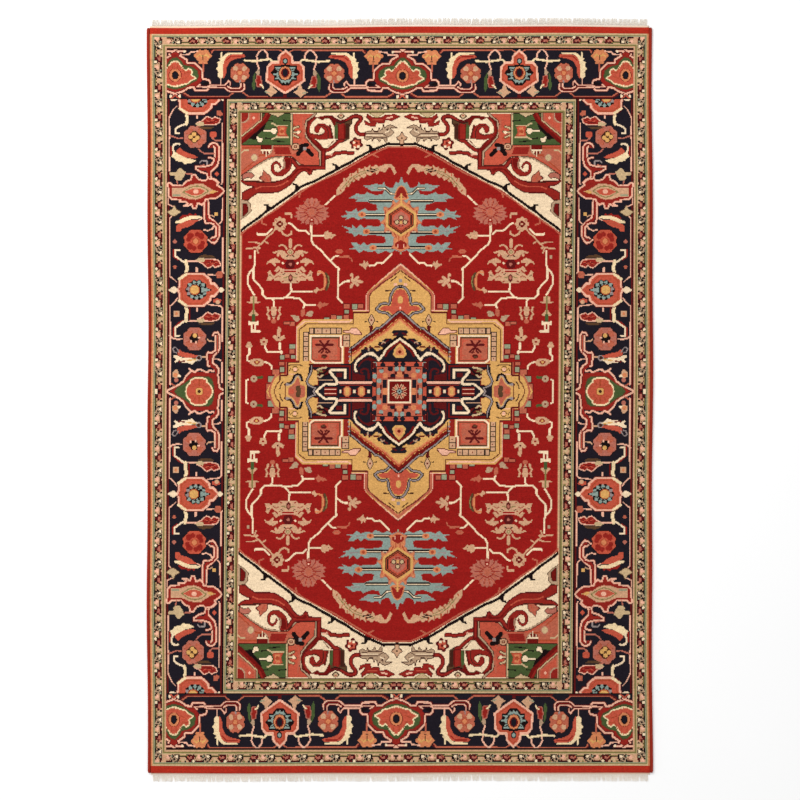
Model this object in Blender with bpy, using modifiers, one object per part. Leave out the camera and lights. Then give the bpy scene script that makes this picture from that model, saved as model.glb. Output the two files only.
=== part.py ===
"""Hand-knotted area rug with a centre medallion, corner spandrels and three borders.

Blender 4.5, metres, +Z up.  Run with:  blender --background --python part.py

The rug lies flat.  The origin is under its centre, on the floor: X runs across the rug, Y runs
along the warps, from the end where the weaving began (-Y) to the end where it finished (+Y).

A knotted rug is built on a cotton foundation.  Each stretch of wool pile is tied to it knot by
knot, so every pile zone here is a mat of its own that sits on the foundation.  The zones are drawn
on the weaver's cartoon, and woven() carries a cartoon point to where the loom really put it.
"""

import math

import bpy

# --- Overall sizes (metres) ---------------------------------------------------------------------
RUG_WIDTH = 1.830            # across the rug, over both selvedges
BODY_LENGTH = 2.700          # along the warps, without the fringes
FRINGE_LENGTH = 0.035        # from the end of the weaving to the fringe's tips
FOUNDATION_THICKNESS = 0.003
PILE_HEIGHT = 0.0077         # from the foundation to the tips of the wool
GAP = 0.0003                 # between pieces that touch

# --- Edges --------------------------------------------------------------------------------------
SELVEDGE_WIDTH = 0.012
SELVEDGE_THICKNESS = 0.009
SELVEDGE_ROUNDING = 0.0042   # radius along the overcast cord's long edges
SELVEDGE_ROUNDING_STEPS = 3
FRINGE_THICKNESS = 0.002
FRINGE_WEB = 0.008           # plain woven web that the tassels hang from
TASSEL_PITCH = 0.0152
TASSEL_ROOT_WIDTH = 0.0080
TASSEL_TIP_WIDTH = 0.0045

# --- Borders, from the edge inwards ---------------------------------------------------------------
END_BAND_WIDTH = 0.0244      # plain band at each end, inside the fringe
OUTER_GUARD_WIDTH = 0.0580
MAIN_BORDER_SIDE_WIDTH = 0.2074
MAIN_BORDER_END_WIDTH = 0.1894
INNER_GUARD_SIDE_WIDTH = 0.0580
INNER_GUARD_END_WIDTH = 0.0550

# --- Medallion, measured in from the field's edges ------------------------------------------------
MEDALLION_SIDE_MARGIN = 0.098    # from a side point to the field's side
MEDALLION_END_MARGIN = 0.554     # from an end point to the field's end
MEDALLION_STEP_SIZES = (         # quarter outline: shares of its half width and half length
    (0.000, 1.000), (0.240, 0.786), (0.260, 0.750), (0.260, 0.636), (0.357, 0.636),
    (0.357, 0.558), (0.720, 0.558), (0.777, 0.506), (0.780, 0.228), (0.855, 0.228),
    (0.855, 0.137), (0.937, 0.130), (1.000, 0.000),
)

# --- Corner spandrels, measured in from the field's corner ----------------------------------------
SPANDREL_END_DEPTH = 0.124       # depth where the two spandrels of one end meet
SPANDREL_SIDE_LENGTH = 0.447     # length along the field's side
SPANDREL_CURVE = (               # share of the way from the middle to the side, and share of the drop
    (0.000, 0.000), (0.080, 0.000), (0.185, 0.068), (0.316, 0.214), (0.421, 0.320),
    (0.632, 0.520), (0.763, 0.700), (1.000, 1.000),
)

# --- How the loom moved the cartoon ---------------------------------------------------------------
BEAT_DRIFT = 0.0373          # the centre lies this far towards +Y, as late rows were beaten tighter
SLACK_ROWS = 0.0063          # rows around the medallion lie this much looser, towards -Y
SLACK_REACH = 0.519          # half length of the stretch with looser rows
SLACK_POWER = 6
LEAN = 0.0130                # the centre line leans this far towards +X at the +Y end
LEAN_OFFSET = -0.0022        # and lies this far off centre at mid length
LEAN_FADE_POWER = 3          # the lean fades to nothing at the straight selvedges
OUTLINE_STEP = 0.150         # longest straight stretch of an outline, before it is bent by woven()

# --- Dyes (linear RGB) ----------------------------------------------------------------------------
MADDER_RED = (0.318, 0.009, 0.007)
BRIGHT_RED = (0.473, 0.023, 0.012)
TAN = (0.500, 0.310, 0.180)
NAVY = (0.011, 0.010, 0.016)
GOLD = (0.672, 0.376, 0.098)
IVORY = (0.930, 0.680, 0.460)
COTTON = (0.800, 0.720, 0.600)
WOOL_ROUGHNESS = 0.95
COTTON_ROUGHNESS = 0.90

HALF_WIDTH = RUG_WIDTH / 2
HALF_LENGTH = BODY_LENGTH / 2
FOUNDATION_HALF_WIDTH = HALF_WIDTH - SELVEDGE_WIDTH - GAP
PILE_BOTTOM = FOUNDATION_THICKNESS + GAP

# Half sizes of the nested rectangles that part one border from the next, as drawn on the cartoon.
GUARD_OUT_X = HALF_WIDTH - SELVEDGE_WIDTH
GUARD_OUT_Y = HALF_LENGTH - END_BAND_WIDTH
BORDER_OUT_X = GUARD_OUT_X - OUTER_GUARD_WIDTH
BORDER_OUT_Y = GUARD_OUT_Y - OUTER_GUARD_WIDTH
GUARD_IN_X = BORDER_OUT_X - MAIN_BORDER_SIDE_WIDTH
GUARD_IN_Y = BORDER_OUT_Y - MAIN_BORDER_END_WIDTH
FIELD_X = GUARD_IN_X - INNER_GUARD_SIDE_WIDTH
FIELD_Y = GUARD_IN_Y - INNER_GUARD_END_WIDTH
MEDALLION_X = FIELD_X - MEDALLION_SIDE_MARGIN
MEDALLION_Y = FIELD_Y - MEDALLION_END_MARGIN


def woven(x, y):
    """Where the loom put the cartoon's point (x, y)."""
    along = y / HALF_LENGTH
    beat = BEAT_DRIFT * (1 - along ** 2)
    slack = SLACK_ROWS * math.exp(-(y / SLACK_REACH) ** SLACK_POWER)
    lean = LEAN_OFFSET + LEAN * along
    fade = 1 - abs(x / GUARD_OUT_X) ** LEAN_FADE_POWER
    return x + lean * fade, y + beat - slack


def refined(points):
    """Split a closed outline where it crosses shared rows and columns, so neighbours bend alike."""
    outline = []
    for (x0, y0), (x1, y1) in zip(points, points[1:] + points[:1]):
        cuts = set()
        for start, stop in ((x0, x1), (y0, y1)):
            if start == stop:
                continue
            low, high = sorted((start, stop))
            first = math.ceil(low / OUTLINE_STEP)
            last = math.floor(high / OUTLINE_STEP)
            cuts.update((line * OUTLINE_STEP - start) / (stop - start) for line in range(first, last + 1))
        inside = sorted(cut for cut in cuts if 0.02 < cut < 0.98)
        outline.append((x0, y0))
        outline.extend((x0 + (x1 - x0) * cut, y0 + (y1 - y0) * cut) for cut in inside)
    return outline


def wool(name, colour, roughness=WOOL_ROUGHNESS):
    """A matt yarn."""
    material = bpy.data.materials.new(name)
    material.use_nodes = True
    shader = material.node_tree.nodes["Principled BSDF"]
    shader.inputs["Base Color"].default_value = (*colour, 1)
    shader.inputs["Roughness"].default_value = roughness
    shader.inputs["Metallic"].default_value = 0
    return material


def flat_piece(name, outline, bottom, thickness, material):
    """A mat of even thickness with the given closed outline."""
    curve = bpy.data.curves.new(name, "CURVE")
    curve.dimensions = "2D"
    curve.fill_mode = "BOTH"
    curve.extrude = thickness / 2
    spline = curve.splines.new("POLY")
    spline.points.add(len(outline) - 1)
    for point, (x, y) in zip(spline.points, outline):
        point.co = (x, y, 0, 1)
    spline.use_cyclic_u = True
    curve.materials.append(material)
    piece = bpy.data.objects.new(name, curve)
    piece.location.z = bottom + thickness / 2
    rug.objects.link(piece)
    return piece


def pile(name, cartoon_outline, material):
    """One zone of wool pile, standing on the foundation, from its outline on the cartoon."""
    outline = [woven(x, y) for x, y in refined(cartoon_outline)]
    return flat_piece(name, outline, PILE_BOTTOM, PILE_HEIGHT - GAP, material)


def rectangle(x0, y0, x1, y1):
    """Corners of a rectangle on the cartoon, drawn in by half the gap all round."""
    inset = GAP / 2
    x0, y0, x1, y1 = x0 + inset, y0 + inset, x1 - inset, y1 - inset
    return [(x0, y0), (x1, y0), (x1, y1), (x0, y1)]


def shifted(points, dx, dy):
    """The points moved by (dx, dy)."""
    return [(x + dx, y + dy) for x, y in points]


def make_foundation():
    """The sheet of cotton warps and wefts that every knot is tied to."""
    bpy.ops.mesh.primitive_cube_add(size=1, location=(0, 0, FOUNDATION_THICKNESS / 2))
    foundation = bpy.context.object
    foundation.name = "foundation"
    foundation.scale = (2 * FOUNDATION_HALF_WIDTH, BODY_LENGTH, FOUNDATION_THICKNESS)
    bpy.ops.object.transform_apply(location=False, rotation=False, scale=True)
    foundation.data.materials.append(wool("foundation_cotton", COTTON, COTTON_ROUGHNESS))
    adopt(foundation)


def adopt(piece):
    """Move a new object into the rug's collection."""
    for collection in piece.users_collection:
        collection.objects.unlink(piece)
    rug.objects.link(piece)


def make_selvedges():
    """The overcast wool cord along each side."""
    for name, side in (("left_selvedge", -1), ("right_selvedge", 1)):
        centre = side * (HALF_WIDTH - SELVEDGE_WIDTH / 2)
        bpy.ops.mesh.primitive_cube_add(size=1, location=(centre, 0, SELVEDGE_THICKNESS / 2))
        cord = bpy.context.object
        cord.name = name
        cord.scale = (SELVEDGE_WIDTH, BODY_LENGTH, SELVEDGE_THICKNESS)
        bpy.ops.object.transform_apply(location=False, rotation=False, scale=True)
        rounding = cord.modifiers.new("rounding", "BEVEL")
        rounding.width = min(SELVEDGE_ROUNDING, SELVEDGE_THICKNESS * 0.48, SELVEDGE_WIDTH * 0.48)
        rounding.segments = SELVEDGE_ROUNDING_STEPS
        cord.data.materials.append(wool(name + "_wool", BRIGHT_RED))
        cord.data.shade_smooth()
        cord.data.set_sharp_from_angle(angle=math.radians(50))
        adopt(cord)


def make_fringes():
    """At each end, the warps' ends: a narrow woven web and a row of tassels, as one comb."""
    count = int((2 * FOUNDATION_HALF_WIDTH) // TASSEL_PITCH)
    first = -(count - 1) / 2 * TASSEL_PITCH
    for name, end in (("lower_fringe", -1), ("upper_fringe", 1)):
        root = HALF_LENGTH + GAP
        web_edge = HALF_LENGTH + FRINGE_WEB
        tip = HALF_LENGTH + FRINGE_LENGTH
        outline = [(-FOUNDATION_HALF_WIDTH, root), (-FOUNDATION_HALF_WIDTH, web_edge)]
        for tassel in range(count):
            middle = first + tassel * TASSEL_PITCH
            outline += [
                (middle - TASSEL_ROOT_WIDTH / 2, web_edge),
                (middle - TASSEL_TIP_WIDTH / 2, tip),
                (middle + TASSEL_TIP_WIDTH / 2, tip),
                (middle + TASSEL_ROOT_WIDTH / 2, web_edge),
            ]
        outline += [(FOUNDATION_HALF_WIDTH, web_edge), (FOUNDATION_HALF_WIDTH, root)]
        outline = [(x, y * end) for x, y in outline]
        cotton = wool(name + "_cotton", COTTON, COTTON_ROUGHNESS)
        flat_piece(name, outline, 0, FRINGE_THICKNESS, cotton)


def make_end_bands():
    """The plain band at each end of the pile."""
    inset = GAP / 2
    for name, end in (("lower_end_band", -1), ("upper_end_band", 1)):
        y0, y1 = sorted((end * (GUARD_OUT_Y + inset), end * HALF_LENGTH))
        x = GUARD_OUT_X - inset
        outline = [(-x, y0), (x, y0), (x, y1), (-x, y1)]
        pile(name, outline, wool(name + "_wool", BRIGHT_RED))


def make_border(label, colour, outer, inner):
    """A border of four strips.  The end strips run the full width; the side strips butt on them."""
    (ox, oy), (ix, iy) = outer, inner
    strips = {
        "lower_" + label: (-ox, -oy, ox, -iy),
        "upper_" + label: (-ox, iy, ox, oy),
        "left_" + label: (-ox, -iy, -ix, iy),
        "right_" + label: (ix, -iy, ox, iy),
    }
    for name, corners in strips.items():
        pile(name, rectangle(*corners), wool(name + "_wool", colour))


def spandrel_curve():
    """The inner edge of the spandrel in the +X +Y corner, from mid width to the field's side."""
    top = FIELD_Y - SPANDREL_END_DEPTH
    drop = SPANDREL_SIDE_LENGTH - SPANDREL_END_DEPTH
    return [(across * FIELD_X, top - share * drop) for across, share in SPANDREL_CURVE]


def medallion_quarter():
    """The medallion's outline from its +Y point to its +X point."""
    return [(across * MEDALLION_X, along * MEDALLION_Y) for across, along in MEDALLION_STEP_SIZES]


def make_field():
    """The red field in two halves: each lies between the medallion and two spandrels."""
    inset = GAP / 2
    edge = FIELD_X - inset
    curve = spandrel_curve()
    curve[-1] = (edge, curve[-1][1])
    quarter = medallion_quarter()
    quarter[-1] = (quarter[-1][0], inset)
    for name, end in (("lower_field", -1), ("upper_field", 1)):
        outer = [(-x, y) for x, y in reversed(curve[1:])] + curve
        outer = shifted(outer, 0, -GAP)
        inner = list(reversed(quarter)) + [(-x, y) for x, y in quarter[1:]]
        inner = [(x + math.copysign(GAP, x) if x else x, y + GAP) for x, y in inner]
        outline = outer + [(edge, inset)] + inner + [(-edge, inset)]
        outline = [(x, y * end) for x, y in outline]
        pile(name, outline, wool(name + "_wool", MADDER_RED))


def make_medallion():
    """The stepped medallion at the centre."""
    quarter = medallion_quarter()
    right = quarter + [(x, -y) for x, y in reversed(quarter[:-1])]
    left = [(-x, y) for x, y in reversed(right[1:-1])]
    pile("medallion", right + left, wool("medallion_wool", GOLD))


def make_spandrels():
    """The four ivory corners."""
    inset = GAP / 2
    curve = spandrel_curve()
    curve = [(inset, curve[0][1])] + curve[1:-1] + [(FIELD_X - inset, curve[-1][1])]
    corner = curve + [(FIELD_X - inset, FIELD_Y - inset), (inset, FIELD_Y - inset)]
    for lengthwise, end in (("lower", -1), ("upper", 1)):
        for sideways, side in (("left", -1), ("right", 1)):
            name = f"{lengthwise}_{sideways}_spandrel"
            outline = [(x * side, y * end) for x, y in corner]
            pile(name, outline, wool(name + "_wool", IVORY))


for leftover in list(bpy.data.objects):
    bpy.data.objects.remove(leftover, do_unlink=True)
rug = bpy.data.collections.new("area_rug")
bpy.context.scene.collection.children.link(rug)

make_foundation()
make_selvedges()
make_fringes()
make_end_bands()
make_border("outer_guard", TAN, (GUARD_OUT_X, GUARD_OUT_Y), (BORDER_OUT_X, BORDER_OUT_Y))
make_border("main_border", NAVY, (BORDER_OUT_X, BORDER_OUT_Y), (GUARD_IN_X, GUARD_IN_Y))
make_border("inner_guard", TAN, (GUARD_IN_X, GUARD_IN_Y), (FIELD_X, FIELD_Y))
make_field()
make_medallion()
make_spandrels()
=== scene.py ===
"""Looks for a hand-knotted wool rug with a stepped medallion, lying flat on the floor."""

import logging
import math
from dataclasses import dataclass, replace
from enum import IntEnum
from typing import Any, Callable, Dict, List, Optional, Sequence, Tuple, Union

import bpy
import numpy as np
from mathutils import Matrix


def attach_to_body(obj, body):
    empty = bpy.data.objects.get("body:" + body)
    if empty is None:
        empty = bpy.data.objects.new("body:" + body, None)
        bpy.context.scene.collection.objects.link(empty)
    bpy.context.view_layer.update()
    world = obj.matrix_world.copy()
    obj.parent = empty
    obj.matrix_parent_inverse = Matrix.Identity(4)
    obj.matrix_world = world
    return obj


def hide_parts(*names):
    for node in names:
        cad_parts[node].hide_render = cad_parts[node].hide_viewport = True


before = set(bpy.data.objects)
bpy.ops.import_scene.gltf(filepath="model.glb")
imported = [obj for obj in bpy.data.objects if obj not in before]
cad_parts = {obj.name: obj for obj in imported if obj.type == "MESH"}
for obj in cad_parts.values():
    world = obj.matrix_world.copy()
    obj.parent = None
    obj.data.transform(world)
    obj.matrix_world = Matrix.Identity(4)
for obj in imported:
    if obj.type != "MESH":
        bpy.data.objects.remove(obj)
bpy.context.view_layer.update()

log = logging.getLogger("rug")

Pair = Tuple[float, float]
Points = Union[str, np.ndarray, Sequence[Pair]]

# The loom.  Knots are counted from the middle: COLUMNS across a half, ROWS along a half.
COLUMNS = 300
ROWS = 442
HALF_WIDTH = 0.915
HALF_LENGTH = 1.350
KNOT_WIDTH = HALF_WIDTH / COLUMNS
KNOT_LENGTH = HALF_LENGTH / ROWS
GUARD_OUT_X = 0.903
PILE_TOP = 0.0107
PILE_BOTTOM = 0.0033
FOUNDATION_TOP = 0.003

# How the weaving bends, in metres.
BEAT_DRIFT = 0.0373          # the centre lies this far towards +Y
SLACK_ROWS = 0.0063          # the rows round the medallion lie this much looser
SLACK_REACH = 0.519          # half length of the stretch with looser rows
LEAN = 0.0130                # the centre line leans this far towards +X at the +Y end
LEAN_OFFSET = -0.0022        # and lies this far off centre at mid length
SIDE_WAVES = (0.0020, 0.0012)    # how far the long edges wander, in slow and quick waves
END_WAVES = (0.0024, 0.0010)     # how far the ends wander


class Yarn(IntEnum):
    """The dyed yarns, by the number that a knot of the cartoon holds."""

    FIELD = 0
    BAND = 1
    DEEP = 2
    MAROON = 3
    BROWN = 4
    BLACK = 5
    NAVY = 6
    IVORY = 7
    CREAM = 8
    TAN = 9
    BUFF = 10
    SALMON = 11
    CORAL = 12
    ROSE = 13
    PINK = 14
    GOLD = 15
    ORANGE = 16
    BLUE = 17
    LAVENDER = 18
    GREEN = 19
    OLIVE = 20
    SAGE = 21
    STRAW = 22
    RUST = 23
    RED = 24
    UMBER = 25


DYES: Dict[Yarn, Tuple[int, int, int]] = {
    Yarn.FIELD: (150, 26, 22),
    Yarn.BAND: (178, 46, 30),
    Yarn.DEEP: (112, 18, 14),
    Yarn.MAROON: (92, 20, 20),
    Yarn.BROWN: (66, 32, 22),
    Yarn.BLACK: (24, 12, 12),
    Yarn.NAVY: (30, 25, 33),
    Yarn.IVORY: (244, 216, 179),
    Yarn.CREAM: (242, 214, 168),
    Yarn.TAN: (208, 160, 124),
    Yarn.BUFF: (182, 150, 120),
    Yarn.SALMON: (186, 98, 74),
    Yarn.CORAL: (194, 84, 62),
    Yarn.ROSE: (182, 106, 88),
    Yarn.PINK: (240, 180, 152),
    Yarn.GOLD: (218, 165, 95),
    Yarn.ORANGE: (212, 130, 86),
    Yarn.BLUE: (140, 156, 146),
    Yarn.LAVENDER: (152, 136, 132),
    Yarn.GREEN: (72, 88, 48),
    Yarn.OLIVE: (134, 122, 72),
    Yarn.SAGE: (150, 152, 122),
    Yarn.STRAW: (202, 172, 130),
    Yarn.RUST: (172, 72, 44),
    Yarn.RED: (146, 36, 28),
    Yarn.UMBER: (90, 62, 40),
}

Y = Yarn


def read_points(points: Points) -> np.ndarray:
    """Turn an outline into an array.

    Args:
        points: Pairs of numbers, or a string of "across,along" pairs with spaces between.

    Returns:
        One row for each point.
    """
    if isinstance(points, str):
        return np.array([[float(n) for n in pair.split(",")] for pair in points.split()])
    return np.asarray(points, float)


def rounded(points: Points, parts: int = 4) -> np.ndarray:
    """Pass a smooth curve through the points of an open line.

    Args:
        points: The line's points.
        parts: How many pieces each stretch becomes.

    Returns:
        The denser line.
    """
    p = read_points(points)
    q = np.vstack([2 * p[0] - p[1], p, 2 * p[-1] - p[-2]])
    made = []
    for a, b, c, d in zip(q[:-3], q[1:-2], q[2:-1], q[3:]):
        for t in np.arange(parts) / parts:
            made.append(
                0.5 * (2 * b + (c - a) * t + (2 * a - 5 * b + 4 * c - d) * t * t
                       + (3 * b - a - 3 * c + d) * t ** 3)
            )
    return np.vstack(made + [p[-1]])


@dataclass(frozen=True)
class Pen:
    """Draws a motif on the cartoon, in the motif's own place and direction.

    Attributes:
        knots: The quarter of the cartoon, one row for each row of knots.
        origin: Where the motif's own (0, 0) falls, in knots.
        across: Where one knot along the motif's first axis goes.
        along: Where one knot along its second axis goes.
        clip: The knots that may be painted, or None for all.
    """

    knots: np.ndarray
    origin: Pair = (0.0, 0.0)
    across: Pair = (1.0, 0.0)
    along: Pair = (0.0, 1.0)
    clip: Optional[np.ndarray] = None

    def moved(self, origin: Pair, across: Pair = (1.0, 0.0), along: Pair = (0.0, 1.0)) -> "Pen":
        """Give a pen with another place and direction, counted in the quarter's own knots."""
        return replace(self, origin=origin, across=across, along=along)

    def both(self, middle: float) -> Tuple["Pen", "Pen"]:
        """Give this pen and its mirror image about a line along the second axis.

        Args:
            middle: The line's place on the first axis.

        Returns:
            The two pens.
        """
        ax, ay = self.across
        ox, oy = self.origin
        turned = replace(
            self, origin=(ox + 2 * middle * ax, oy + 2 * middle * ay), across=(-ax, -ay)
        )
        return self, turned

    def placed(self, points: Points) -> np.ndarray:
        """Move a motif's points to their place in the quarter."""
        p = read_points(points)
        return np.array(self.origin) + p[:, :1] * self.across + p[:, 1:] * self.along

    def near(self, p: np.ndarray, reach: float) -> Optional[Tuple[Any, Any, Any, Any]]:
        """Find the knots round some points.

        Args:
            p: Points in the quarter.
            reach: How far beyond the points the window goes.

        Returns:
            The window's knots, its clip and the middles of its knots, or None if it is outside.
        """
        low = np.maximum(np.floor(p.min(0) - reach), 0).astype(int)
        high = np.minimum(np.ceil(p.max(0) + reach), (COLUMNS, ROWS)).astype(int)
        if (high <= low).any():
            return None
        rows, columns = slice(low[1], high[1]), slice(low[0], high[0])
        u = np.arange(low[0], high[0])[None, :] + 0.5
        v = np.arange(low[1], high[1])[:, None] + 0.5
        free = True if self.clip is None else self.clip[rows, columns]
        return self.knots[rows, columns], free, u, v

    @staticmethod
    def inside(p: np.ndarray, u: np.ndarray, v: np.ndarray) -> np.ndarray:
        """Tell which knots lie inside a closed outline, by the even-odd rule."""
        held = np.zeros(np.broadcast(u, v).shape, bool)
        for (x0, y0), (x1, y1) in zip(p, np.roll(p, -1, 0)):
            if y0 != y1:
                band = (v >= min(y0, y1)) & (v < max(y0, y1))
                held ^= band & (u < x0 + (v - y0) * (x1 - x0) / (y1 - y0))
        return held

    @staticmethod
    def beside(p: np.ndarray, u: np.ndarray, v: np.ndarray) -> np.ndarray:
        """Give the distance of each knot from an open line."""
        best = np.full(np.broadcast(u, v).shape, 1e9)
        for (x0, y0), (x1, y1) in zip(p[:-1], p[1:]):
            dx, dy = x1 - x0, y1 - y0
            size = dx * dx + dy * dy or 1e-9
            t = np.clip(((u - x0) * dx + (v - y0) * dy) / size, 0, 1)
            best = np.minimum(best, (u - x0 - t * dx) ** 2 + (v - y0 - t * dy) ** 2)
        return np.sqrt(best)

    def shape(
        self, yarn: Yarn, points: Points, rim: Optional[Yarn] = None, width: float = 1.1,
        closed: bool = True,
    ) -> None:
        """Fill a closed outline.

        Args:
            yarn: The yarn inside.
            points: The outline.
            rim: The yarn of a line round it, if it has one.
            width: How far that line goes beyond the outline.
            closed: Whether the line round it also joins the last point to the first.
        """
        p = self.placed(points)
        found = self.near(p, width + 1)
        if found is None:
            return
        knots, free, u, v = found
        held = self.inside(p, u, v)
        if rim is not None:
            loop = np.vstack([p, p[:1]]) if closed else p
            ring = self.beside(loop, u, v) <= width
            knots[(ring | held) & free] = rim
        knots[held & free] = yarn

    def line(
        self,
        yarn: Yarn,
        thick: float,
        points: Points,
        rim: Optional[Yarn] = None,
        width: float = 1.1,
        soft: bool = False,
    ) -> None:
        """Draw a line.

        Args:
            yarn: The line's yarn.
            thick: Its thickness.
            points: The points it goes through.
            rim: The yarn on both its sides, if it has one.
            width: How wide that is.
            soft: Round its corners.
        """
        p = self.placed(rounded(points) if soft else points)
        found = self.near(p, thick / 2 + width + 1)
        if found is None:
            return
        knots, free, u, v = found
        away = self.beside(p, u, v)
        if rim is not None:
            knots[(away <= thick / 2 + width) & free] = rim
        knots[(away <= thick / 2) & free] = yarn

    def lines(self, yarn: Yarn, thick: float, *several: Points, **looks: Any) -> None:
        """Draw several lines alike, first all their rims and then the lines."""
        rim, width = looks.pop("rim", None), looks.pop("width", 0.9)
        if rim is not None:
            for points in several:
                self.line(rim, thick + 2 * width, points, **looks)
        for points in several:
            self.line(yarn, thick, points, **looks)

    def box(
        self, yarn: Yarn, s0: float, w0: float, s1: float, w1: float,
        rim: Optional[Yarn] = None, width: float = 1.1,
    ) -> None:
        """Fill a rectangle between two corners."""
        self.shape(yarn, [(s0, w0), (s1, w0), (s1, w1), (s0, w1)], rim, width)

    def boxes(self, yarn: Yarn, text: str, rim: Optional[Yarn] = None, width: float = 1.1) -> None:
        """Fill several rectangles, each four numbers: two corners."""
        for part in text.split():
            s0, w0, s1, w1 = (float(n) for n in part.split(","))
            self.box(yarn, s0, w0, s1, w1, rim, width)

    def petals(
        self, yarn: Yarn, s: float, w: float, radius: float, count: int = 0,
        depth: float = 0.15, turn: float = 0.0, rim: Optional[Yarn] = None,
        width: float = 1.1, flat: float = 1.0,
    ) -> None:
        """Fill a round flower.

        Args:
            yarn: The yarn inside.
            s: Its middle on the first axis.
            w: Its middle on the second axis.
            radius: Its size.
            count: How many petals its edge has; none for a plain disc.
            depth: How deep the edge dips between petals, as a share of the radius.
            turn: Its turn, in degrees.
            rim: The yarn round it.
            width: How wide that is.
            flat: Its height over its width.
        """
        steps = max(12, 5 * count)
        angle = 2 * math.pi * np.arange(steps) / steps
        wave = 1 - depth * (1 - np.abs(np.cos(angle * count / 2))) if count else 1 + 0 * angle
        turned = angle + math.radians(turn)
        ring = np.stack([np.cos(turned), flat * np.sin(turned)], 1) * (radius * wave)[:, None]
        self.shape(yarn, ring + (s, w), rim, width)

    def dots(self, yarn: Yarn, radius: float, text: str, rim: Optional[Yarn] = None) -> None:
        """Draw several discs of one size, each by its middle."""
        for s, w in read_points(text):
            self.petals(yarn, s, w, radius, rim=rim)

    def draw(self, recipe: str) -> None:
        """Draw the marks that a recipe lists, in their order.

        A mark is its verb, its yarn, its plain sizes and its points.  A semicolon starts the next
        of several lines.  "/BROWN:.8" is a rim and its width, "flat=.8" a flower's height over
        its width, "open" leaves a rim unclosed and "soft" rounds a line's corners.

        Args:
            recipe: The marks.
        """
        words = recipe.split()
        starts = [i for i, word in enumerate(words) if word in VERBS]
        for start, end in zip(starts, starts[1:] + [len(words)]):
            self.mark(*words[start:end])

    def mark(self, verb: str, yarn: str, *words: str) -> None:
        """Draw one mark of a recipe.

        Args:
            verb: The kind of mark.
            yarn: The name of its yarn.
            words: Its sizes, points and looks.
        """
        paths: List[List[str]] = [[]]
        sizes: List[float] = []
        looks: Dict[str, Any] = {}
        for word in words:
            if word == ";":
                paths.append([])
            elif word in ("open", "soft"):
                looks.update({"closed": False} if word == "open" else {"soft": True})
            elif word.startswith("/"):
                rim, _, width = word[1:].partition(":")
                looks["rim"] = Yarn[rim]
                looks.update({"width": float(width)} if width else {})
            elif word.startswith("flat="):
                looks["flat"] = float(word.partition("=")[2])
            elif "," in word:
                paths[-1].append(word)
            else:
                sizes.append(float(word))
        texts = [" ".join(path) for path in paths]
        if verb == "petals":
            s, w = (float(n) for n in texts[0].split(","))
            named = dict(zip(("radius", "count", "depth", "turn"), sizes))
            named["count"] = int(named.get("count", 0))
            self.petals(Yarn[yarn], s, w, **named, **looks)
        else:
            VERBS[verb](self, Yarn[yarn], *sizes, *texts, **looks)


VERBS: Dict[str, Callable[..., None]] = {
    "shape": Pen.shape, "line": Pen.line, "lines": Pen.lines, "boxes": Pen.boxes,
    "dots": Pen.dots, "petals": Pen.petals,
}


class Zone(IntEnum):
    """The zones of the pile."""

    SELVEDGE = 0
    END_BAND = 1
    OUTER_GUARD = 2
    MAIN_BORDER = 3
    INNER_GUARD = 4
    FIELD = 5
    SPANDREL = 6
    MEDALLION = 7


FIELD_EDGE = (
    "0,294.5 15,294.5 35,287.5 60,272 80,260.5 120,239.5 145,220.5 190,188.5"
)
MEDALLION_EDGE = (
    "0,153.5 38,120 41,114 41,97.5 56.5,97.5 56.5,85.5 114,86 123,77.5 123.5,35 135,35 "
    "135,21 148,20 158,0"
)


class Zones:
    """Which zone each knot of the quarter belongs to."""

    def __init__(self) -> None:
        """Lay the zones over one another, from the outside in."""
        self.label = np.full((ROWS, COLUMNS), int(Zone.END_BAND), np.uint8)
        for zone, columns, rows in (
            (Zone.OUTER_GUARD, 296, 434), (Zone.MAIN_BORDER, 277, 415),
            (Zone.INNER_GUARD, 209, 353), (Zone.FIELD, 190, 335),
        ):
            self.label[:rows, :columns] = zone
        self.label[:, 296:] = Zone.SELVEDGE
        pen = Pen(self.label)
        pen.shape(Zone.SPANDREL, FIELD_EDGE + " 190,335 0,335")
        pen.shape(Zone.MEDALLION, MEDALLION_EDGE + " 0,0")


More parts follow.
